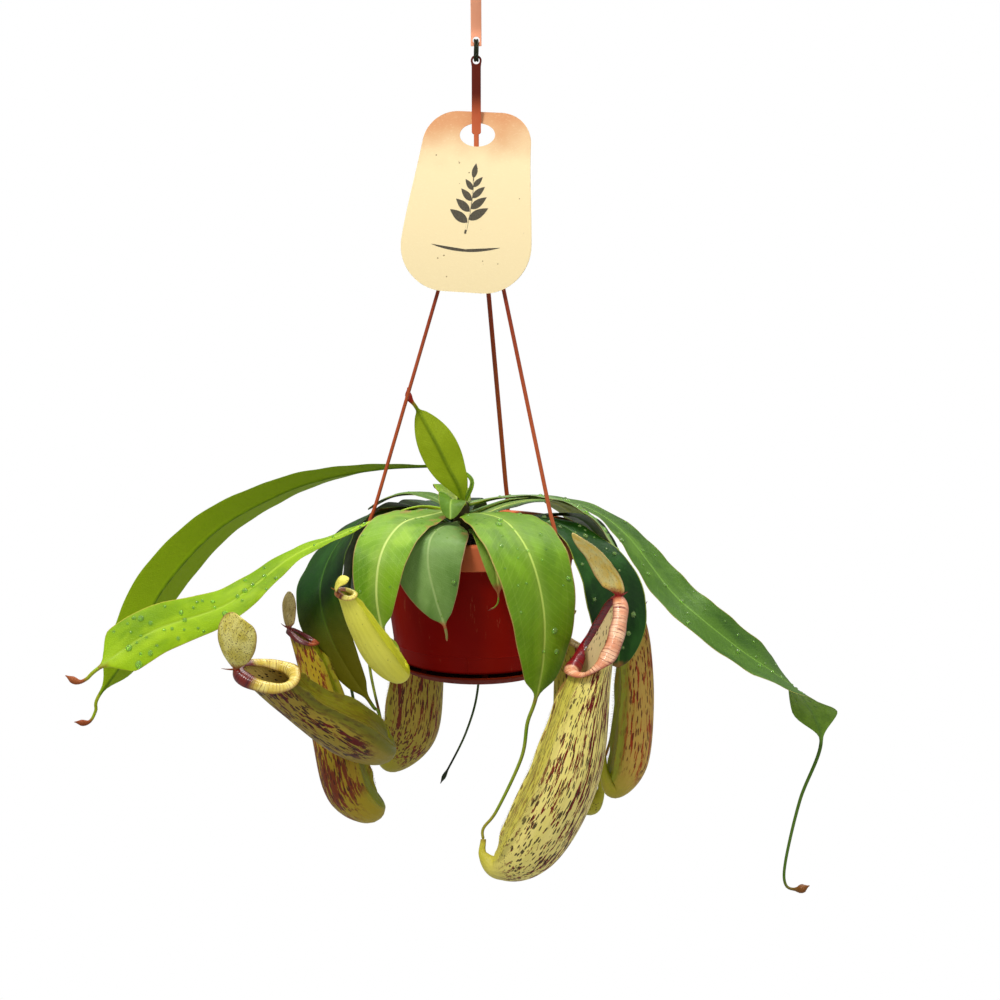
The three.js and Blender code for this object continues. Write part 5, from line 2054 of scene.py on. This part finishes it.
EVERY_PITCHER = (
    Pitcher(
        "front", (Slot.CUP, Slot.RED_LIP, Slot.LID),
        (
            CupFinish("#bcb430", "#ecdc80", "#c8be44", dashes=0.82, streaks=0.74, inside="#dcc690",
                      bare_strip=0.45, bare_foot=0.32, seed=3.1),
            LipFinish("#e2946c", "#fcc8a0", "#7c1c10", "#8e0c1c", 0.9, 1.0),
            # The front lid's yellow is set brighter than its own: painted light for the light it lacks,
            # facing down and away from the key light.
            LidFinish("#ffdc6c", "#fff0a4", "#7a4a18", "#8c1e20", 0.5, 2.0),
        ),
        ((5, -108, -190, 1.8), (5, -111, -200, 3.2), (15, -114, -206, 9), (34, -119, -192, 19),
         (60, -126, -149, 25.5), (73, -125, -112, 24.5), (83, -122, -82, 23.5)),
        (-0.97, -0.24, 0), rise=54, lean=32, narrow=0.36, wings=3, lip=(5.4, 2), lid=(54, 27, 40, 70),
        lid_twist=20, lid_peak=0.36, dark_at=-110, dark_reach=0.95, spur=4, fringe=0.8, detail=1.25,
    ),
    Pitcher(
        "left", (Slot.CUP, Slot.LIP, Slot.LID),
        (
            CupFinish("#747a06", "#9a842a", "#6c6e06", "#2e0e08", "#5a0c08", 0.96, 0.86, "#c8b060",
                      strip_reach=0.4, bare_foot=0.46, seed=7.7),
            LipFinish("#ccb03c", "#e6d476", "#7e4e14", "#6e180c", 0.8, 4.0),
            LidFinish("#cabc4c", "#e6dc80", "#4c2410", "#7c3e16", 0.75, 5.0),
        ),
        ((-65, -61, -122, 1.6), (-61, -65, -132, 3.4), (-64, -78, -138, 10), (-84, -98, -120, 17),
         (-110, -115, -99, 13), (-124, -127, -81, 12.8)),
        (0.85, -0.07, 0.5), rise=27, narrow=0.15, lip=(4.6, 1.8), lid=(41, 29, 28, 60), lid_twist=50,
        lid_peak=0.62, dark_reach=0.5, spur=7, detail=1.1,
    ),
    Pitcher(
        "young", (Slot.YOUNG_CUP, Slot.LIP, Slot.YOUNG_CUP),
        (
            CupFinish("#d2ce24", "#e2de54", "#c2c41c", "#3a2c10", "#8b7a2a", 0.02, 0.0, "#c3c552",
                      seed=11.0),
            LipFinish("#d8c84c", "#e8dc70", "#9a6a1c", "#a05a2a", 0.6, 6.0),
            LidFinish("#c4bc3c", "#dcd45c", "#4b3410", "#8a5a1a", 0.4, 7.0),
        ),
        ((-50, -98, -66, 1.3), (-46, -103, -74, 2.6), (-50, -112, -76, 7), (-61, -122, -61, 10),
         (-71, -132, -41, 8), (-79, -139, -21, 5.2)),
        (0.8, -0.2, 0.5), rise=6, narrow=0.2, wings=1.6, lip=(2.2, 1.1), lid=(15, 15, 10, 112), spur=3,
        fringe=0.5, detail=0.85,
    ),
    Pitcher(
        "low_left", (Slot.RED_CUP, Slot.RED_LIP, Slot.LID),
        (
            CupFinish("#9a960e", "#b0901c", "#80900a", "#4c1e0a", "#7c340a", 0.76, 0.92, "#a58a3c",
                      bare_foot=0.36, seed=13.0),
            LipFinish("#8c3420", "#b0582c", "#5c1410", "#5a0e10", 0.6, 8.0),
            LidFinish("#b29a58", "#d0bc80", "#5b2f1c", "#7c2a22", 0.65, 9.0),
        ),
        ((-83, -32, -154, 1.6), (-80, -35, -172, 3.4), (-73, -54, -187, 10), (-88, -63, -170, 15.5),
         (-97, -64, -134, 14), (-106, -61, -102, 10), (-115, -58, -74, 8)),
        (0.95, -0.2, 0.2), rise=14, narrow=0.4, lip=(2.6, 1.3), lid=(25, 14, 10, 30), lid_twist=60,
        dark_reach=1.6, detail=0.95,
    ),
    Pitcher(
        "behind", (Slot.CUP, Slot.LIP, Slot.LID),
        (
            CupFinish("#8e9014", "#b0983a", "#88900c", "#4c1c0a", "#74260e", 0.85, 0.75, "#ada245",
                      bare_foot=0.3, seed=17.0),
            LipFinish("#c2a04c", "#dcc37c", "#8a4a24", "#6b1d1b", 0.6, 10.0),
            LidFinish("#ab9446", "#cbb86e", "#5b3420", "#8a3028", 0.6, 11.0),
        ),
        ((-74, 70, -170, 1.6), (-75, 71, -182, 3.6), (-66, 73, -192, 11), (-52, 77, -172, 20),
         (-47, 80, -138, 20), (-45, 85, -104, 16.5), (-44, 90, -80, 15)),
        (-0.95, -0.1, 0), rise=14, lip=(3.4, 1.5), lid=(30, 26, 10, 60),
    ),
    Pitcher(
        "right", (Slot.RED_CUP, Slot.RED_LIP, Slot.LID),
        (
            CupFinish("#949414", "#cca44c", "#7c8a0c", "#5a1e0c", "#a0380f", 0.8, 0.9, "#a58a3c",
                      strip_reach=0.36, bare_foot=0.36, seed=19.0),
            LipFinish("#b5604a", "#cf8a6c", "#6c1f1c", "#5a1216", 0.6, 12.0),
            LidFinish("#a98b46", "#c8ad6a", "#5b2f1c", "#7c2a22", 0.6, 13.0),
        ),
        ((90, -8, -164, 1.6), (91, -8, -178, 3.6), (98, -7, -188, 8), (109, -5, -170, 12.5),
         (113, -5, -132, 13), (113, -3, -98, 11.5), (110, 0, -76, 10)),
        (-0.95, -0.2, 0), rise=12, lip=(2.8, 1.4), lid=(22, 20, 20, 70), fringe=1.8, detail=0.95,
    ),
    Pitcher(
        "back", (Slot.CUP, Slot.LIP, Slot.LID),
        (
            CupFinish("#a4a01c", "#bcb040", "#8c9a0c", "#4a200c", "#6b2210", 0.6, 0.4, "#b0aa4c",
                      seed=23.0),
            LipFinish("#c2a04c", "#dcc37c", "#8a4a24", "#6b1d1b", 0.6, 14.0),
            LidFinish("#ab9446", "#cbb86e", "#5b3420", "#8a3028", 0.6, 15.0),
        ),
        ((91, 50, -200, 1.6), (91, 52, -213, 3.4), (83, 56, -222, 9), (74, 60, -202, 14),
         (71, 62, -164, 14.5), (69, 64, -130, 12), (68, 66, -106, 10)),
        (0.95, 0, 0), rise=12, wings=3, lip=(2.8, 1.4), lid=(22, 20, 20, 70), detail=0.95,
    ),
)
PITCHERS = {pitcher.name: pitcher for pitcher in EVERY_PITCHER}

USUAL = dict(full=1.5, fold=10)  # the form of the plain leaves
SHORT = dict(full=1.4, fold=10, stations=60)  # and of the short ones
DEW = Drops(900, 6, 1.2)
MID = LeafFinish()
# Lime leaves: their light colour is partly their own, partly painted light shining through the thin blades.
BRIGHT = LeafFinish("#8cb00c", "#a4c61e", "#6f980a", "#98b01c", "#c0d458", "#b0a838", tendril="#96a024")
DEEP = LeafFinish("#113a05", "#1d4c0a", "#082402", "#3e600e", "#3a6418", "#58741c",
                  halo=0.08, veins=0.04, rough=0.3, gloss=0.16)

LEAVES: tuple[Leaf, ...] = (
    Leaf(
        "back_left_long", Slot.BRIGHT_LEAF,
        # Lime above and bright below: partly its own colour, partly painted light shining through the blade.
        replace(BRIGHT, main="#87ab0a", pale="#9fbe18", deep="#648c0a", under="#8fae14", rib="#4c6c0c",
                margin="#8ca020", bud="#8a4626", bud_from=1.5, halo=0.2, rough=0.5, gloss=0.08),
        80, 15,
        ((-4, 18, 30), (-20, 42, 36), (-42, 58, 34), (-73, 72, 30), (-111, 82, 22), (-148, 86, 9),
         (-197, 87, -19), (-237, 79, -62), (-257, 66, -102), (-281, 50, -136), (-284, 49, -148),
         (-289, 47, -156), (-299, 44, -155)),
        46, 10, None, Drops(900, 6, 1.0),
        dict(peak=0.78, full=2, fold=14, curl=0, twist=(0, 20, 40, 50, 55, 60, 60, 60), bud=1.2, frill=0.2,
             stations=120),
    ),
    Leaf(
        "left_long", Slot.BRIGHT_LEAF,
        # Its lime colour is partly its own, partly painted light shining through the blade.
        replace(BRIGHT, main="#8fb40a", pale="#a6c81c", deep="#769c0a", rib="#a2c236", veins=0.03,
                bud="#94502a", bud_from=1.35, gloss=0.14),
        195, 11,
        ((-40, -15, 17), (-64, -35, 13), (-91, -52, 4), (-122, -65, -8), (-164, -82, -37), (-210, -99, -51),
         (-244, -110, -73), (-252, -111, -80), (-258, -111, -82), (-266, -110, -78)),
        34, 7, None, Drops(20000, 3.5, 2.4, 1.0),
        dict(peak=0.9, full=2.2, fold=6, bud=1.2, twist=(0, 0, -10, -35, -50, -45), stations=110),
    ),
    Leaf(
        "left_dark", Slot.DEEP_LEAF,
        replace(DEEP, under="#3e580a", tip="#625e0e", tendril="#5c6c14", bud="#8a862a", tip_from=0.6,
                tip_blend=0.3),
        172, 1,
        ((-38, 8, 10), (-70, 12, 8), (-95, -6, -8), (-107, -36, -36), (-98, -50, -70), (-72, -56, -112)),
        42, None, PITCHERS["left"], Drops(700, 6, 1.2),
        dict(full=2, twist=(0, 0, -15, -30, -40)),
    ),
    Leaf(
        "front_left", Slot.LEAF,
        replace(MID, main="#7aa51c", pale="#93ba34", deep="#5c8810", rib="#c6d878", margin="#b08a58",
                bud="#a8a83c", blush=0.8),
        222, 13,
        ((-33, -34, 14), (-50, -70, 14), (-61, -97, 0), (-64, -104, -26), (-60, -98, -52)),
        37, None, PITCHERS["young"], Drops(3000, 6, 1.5, 0.7),
        dict(full=1.5, twist=(0, 0, -10), fold=8),
    ),
    Leaf(
        "front_round", Slot.LEAF,
        replace(MID, main="#72944a", pale="#86a85c", deep="#5f8438", rib="#96b06a", margin="#c08c6c",
                tip="#a5603a", tip_from=0.95, blush=0.7, bud="#b07a4c", tendril="#a5744a"),
        245, 4,
        ((-23, -44, 8), (-30, -76, 5), (-31, -87, -10), (-26, -90, -32), (-20, -88, -52), (-19, -86, -61)),
        49, 5, None, Drops(2500, 8, 2.6, 0.6),
        dict(peak=0.54, full=2.1, twist=(0, 8), fold=5, tendril=1.0),
    ),
    Leaf(
        "small_curled", Slot.LEAF,
        replace(MID, main="#5d8a20", pale="#7fa540", rib="#98b850"),
        232, 18,
        ((-17, -22, 23), (-18, -33, 21), (-18, -39, 12)),
        20, None, None, Drops(1500, 6, 1.2),
        dict(peak=0.5, full=1.2, fold=20, stations=50),
    ),
    Leaf(
        "front_large", Slot.LEAF,
        replace(MID, main="#668e0e", pale="#76a01a", deep="#567e08", rib="#b4cc5c", margin="#ac8c4c",
                tendril="#8c9a2e", bud="#96902c"),
        298, 9,
        ((6, -36, 15), (22, -74, 15), (36, -102, -2), (44, -111, -34), (44, -109, -68), (39, -105, -96),
         (34, -103, -112), (30, -103, -136), (14, -105, -171)),
        55, 6, PITCHERS["front"], Drops(7000, 5, 3.0, 0.9),
        dict(peak=0.48, full=1.2, fold=6),
    ),
    Leaf(
        "front_narrow", Slot.LEAF,
        replace(MID, main="#6c9424", pale="#8aac40", tip="#9c6236", tip_from=0.9, tendril="#8a3a28",
                bud="#7a2f20"),
        300, -3,
        ((3, -34, 4), (9, -68, 5), (13, -83, -12), (15, -84, -32), (13, -84, -38), (8, -84, -41)),
        22, 4, None, None,
        dict(peak=0.5, full=1.8, fold=16, wave=(1.2, 2), tendril=0.6),
    ),
    Leaf(
        "top_right", Slot.LEAF,
        replace(MID, main="#6c962c", pale="#9cb860", deep="#4c7c1c", rib="#a8c26c", gloss=0.9, rough=0.34),
        350, 17,
        ((20, -5, 22), (52, -6, 21), (80, -10, 8), (101, -16, -22), (112, -18, -50)),
        38, None, None, Drops(9000, 4.5, 2.6, 1.0),
        dict(peak=0.5, full=1.4, fold=8),
    ),
    Leaf(
        "right_dark", Slot.DEEP_LEAF,
        replace(DEEP, main="#17400a", pale="#28561a", deep="#0c2c05", margin="#a2b03c", rib="#3e6822"),
        325, 5,
        ((22, -22, 10), (48, -30, 10), (70, -40, 0), (88, -56, -22), (96, -63, -52), (96, -60, -86)),
        44, None, None, Drops(9000, 4.5, 2.8, 1.0),
        dict(peak=0.7, full=1.9, fold=8, twist=(0, 0, 20, 45, 50)),
    ),
    Leaf(
        "right_long", Slot.LEAF,
        replace(MID, main="#42680f", pale="#567c1e", deep="#315608", under="#78a028", rib="#6c9434",
                tendril="#4c6a1c", bud="#7a4a1c", bud_from=1.8),
        25, 9,
        ((22, 17, 16), (50, 32, 15), (80, 34, 7), (106, 22, -10), (136, -6, -45), (157, -22, -62),
         (184, -26, -83), (207, -26, -99), (229, -16, -119), (245, -5, -154), (232, 0, -200),
         (222, -5, -244), (222, -8, -261), (230, -12, -263), (238, -15, -259)),
        44, 10, None, Drops(8000, 5, 2.2, 0.8),
        dict(peak=0.78, full=1.35, fold=6, curl=0, bud=2, twist=(0, 0, 15, 30, 40, 40, 30, 0, -70),
             stations=120),
    ),
    Leaf(
        "young_upright", Slot.BRIGHT_LEAF,
        # Lime above and bright below: partly its own colour, partly painted light shining through the blade.
        replace(BRIGHT, main="#7c900a", pale="#92a41a", deep="#64800a", under="#869a18", rib="#546c0e",
                tendril="#7a3a20", bud="#8a2418", bud_from=1.2, margin="#88942c", halo=0.2, rough=0.5,
                gloss=0.08),
        290, 17,
        ((-13, -13, 31), (-20, -12, 44), (-28, -10, 60), (-36, -5, 74), (-42, -1, 84), (-47, 0, 91),
         (-48, 0, 98)),
        27, 5, None, None,
        dict(full=2, fold=14, bud=1.2),
    ),
    Leaf(
        "back_left_short", Slot.LEAF,
        replace(MID, main="#4f7a1c", pale="#6c9434", rib="#88a648"),
        155, 12,
        ((-36, 12, 20), (-58, 18, 19), (-78, 20, 9)),
        28, None, None, Drops(1200, 6, 1.2),
        SHORT,
    ),
    Leaf(
        "back_small", Slot.BRIGHT_LEAF,
        replace(BRIGHT, main="#869c1c", pale="#9eb038"),
        105, 8,
        ((-16, 26, 18), (-22, 46, 22), (-28, 62, 16)),
        24, None, None, None,
        SHORT,
    ),
    Leaf(
        "left_hidden", Slot.DEEP_LEAF,
        DEEP,
        150, -4,
        ((-34, 26, 4), (-60, 48, 5), (-88, 42, -24), (-92, -4, -80), (-86, -27, -122)),
        34, 5, PITCHERS["low_left"], DEW,
        USUAL,
    ),
    Leaf(
        "behind", Slot.DEEP_LEAF,
        DEEP,
        112, -3,
        ((-24, 44, 4), (-44, 84, 3), (-68, 106, -24), (-84, 108, -66), (-84, 92, -120)),
        32, 4, PITCHERS["behind"], DEW,
        USUAL,
    ),
    Leaf(
        "right_hidden", Slot.DEEP_LEAF,
        DEEP,
        10, -1,
        ((34, 12, 4), (72, 29, 1.5), (92, 41, -26), (100, 37, -68), (92, 24, -110), (84, 6, -144)),
        34, 4, PITCHERS["right"], DEW,
        USUAL,
    ),
    Leaf(
        "back_right", Slot.LEAF,
        replace(MID, main="#4f7a1c", pale="#6c9434"),
        45, 3,
        ((24, 34, 10), (56, 66, 6), (82, 88, -22), (96, 92, -72), (105, 82, -120), (100, 62, -168)),
        34, 4, PITCHERS["back"], Drops(1500, 6, 1.4),
        USUAL,
    ),
    Leaf(
        "tail", Slot.DEEP_LEAF,
        replace(DEEP, tendril="#4f6230", bud="#26301c"),
        92, 3,
        ((-12, 42, 10), (-8, 78, 4), (-4, 92, -28), (0, 84, -70), (0, 70, -130), (-9, 66, -168),
         (-29, 64, -209)),
        28, 4, None, None,
        dict(peak=0.5, full=1.5, fold=10, tendril=1, bud=0.8),
    ),
)


# Studio


WHITE = (1, 1, 1, 1)


@dataclass(frozen=True)
class Studio:
    """The camera, the lights and the plain floor.

    Args:
        eye: the camera's place, metres in the row frame.
        pitch: how far it looks down, degrees.
        lens: its focal length on a 36 mm sensor.
        floor: the floor's height.
        heart: the place that the lights look at.
        dim: how bright the surroundings are at the horizon and below.
        bright: how bright they are overhead.
    """

    eye: tuple[float, float, float] = (0.016, -1.250, -0.156)
    pitch: float = 9.54
    lens: float = 65.2
    floor: float = -1.45
    heart: tuple[float, float, float] = (0.0, 0.0, -0.36)
    dim: float = 0.25
    bright: float = 0.9

    def build(self) -> None:
        """Builds all three."""
        self._camera()
        self._world()
        self._floor()
        self._light("key", (-0.7, -1.1, 1.35), 0.5, 30, (1.0, 0.98, 0.94))
        self._light("fill", (1.5, -1.3, 0.1), 1.4, 5, (0.96, 0.98, 1.0))
        self._light("top", (0.25, 0.7, 1.2), 1.0, 16, (1.0, 1.0, 1.0))
        bpy.context.scene.view_settings.view_transform = "Standard"

    def _camera(self) -> None:
        """Sets the camera up as the scene's own."""
        data = bpy.data.cameras.new("camera")
        data.lens, data.sensor_width, data.clip_end = self.lens, 36, 100
        camera = linked("camera", data)
        camera.location = self.eye
        camera.rotation_euler = (radians(90 - self.pitch), 0, 0)
        bpy.context.scene.camera = camera

    def _world(self) -> None:
        """Sets the surroundings up: white to the camera, brighter overhead for what they light."""
        world = bpy.data.worlds.new("studio")
        world.use_nodes = True
        world.node_tree.nodes.clear()
        g = Graph(world.node_tree)
        seen = g.add("ShaderNodeLightPath").outputs["Is Camera Ray"]
        height = g.split(g.add("ShaderNodeTexCoord").outputs["Generated"])[2]
        ends = {"From Min": -0.1, "From Max": 0.9, "To Min": self.dim, "To Max": self.bright}
        glow = g.out("ShaderNodeMapRange", {"Value": height, **ends})
        soft, white = (g.out("ShaderNodeBackground", {0: WHITE, "Strength": s}) for s in (glow, 1.0))
        both = g.out("ShaderNodeMixShader", {0: seen, 1: soft, 2: white})
        g.add("ShaderNodeOutputWorld", {"Surface": both})
        bpy.context.scene.world = world

    def _floor(self) -> None:
        """Lays the floor: grey to the light, white to the camera."""
        half = 40.0
        mesh = bpy.data.meshes.new("floor")
        corners = [(half * x, half * y, self.floor) for x, y in ((-1, -1), (1, -1), (1, 1), (-1, 1))]
        mesh.from_pydata(corners, [], [(0, 1, 2, 3)])
        p = Paint("floor")
        seen = p.add("ShaderNodeLightPath").outputs["Is Camera Ray"]
        plain = p.out("ShaderNodeBsdfDiffuse", {"Color": (0.5, 0.5, 0.5, 1)})
        white = p.out("ShaderNodeEmission", {"Color": WHITE, "Strength": 1.0})
        both = p.out("ShaderNodeMixShader", {0: seen, 1: plain, 2: white})
        p.add("ShaderNodeOutputMaterial", {"Surface": both})
        mesh.materials.append(p.material)
        floor = linked("floor", mesh)

    def _light(self, name: str, place: Point, size: float, power: float, colour: Point) -> None:
        """Hangs a square light that looks at the plant.

        Args:
            name: its name.
            place: its place, metres in the row frame.
            size: its side in metres.
            power: in watts.
            colour: of its light, in linear numbers.
        """
        data = bpy.data.lights.new(name, "AREA")
        data.energy, data.size, data.color = power, size, colour
        light = linked(name, data)
        light.location = place
        way = np.array(self.heart) - np.array(place)
        light.rotation_euler = (acos(-way[2] / np.linalg.norm(way)), 0, atan2(-way[0], way[1]))


def write_sizes() -> None:
    """Brings the scene's placements up to date."""
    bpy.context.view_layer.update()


def main() -> None:
    """Builds every piece in order, then the studio."""
    logging.basicConfig(level=logging.INFO, format="%(message)s", stream=sys.stdout)
    Studio().build()
    hanger = Hanger()
    hanger.build(wire_tree())
    Tag().build()
    Pot().build(hanger)
    Soil().build(crumbs_tree())
    STEM.build()
    water = WaterFinish().material("water")
    drops = drops_tree()
    for leaf in LEAVES:
        leaf.build(drops, water)
    hair = GrainFinish("#a9a23c", "#8a6a2c", "#6b3a20", 900, 0.3, 0.6, 0.02).material("wing_hair")
    fringe = fringe_tree()
    for pitcher in PITCHERS.values():
        pitcher.build(fringe, hair)
    write_sizes()


if __name__ == "__main__":
    main()
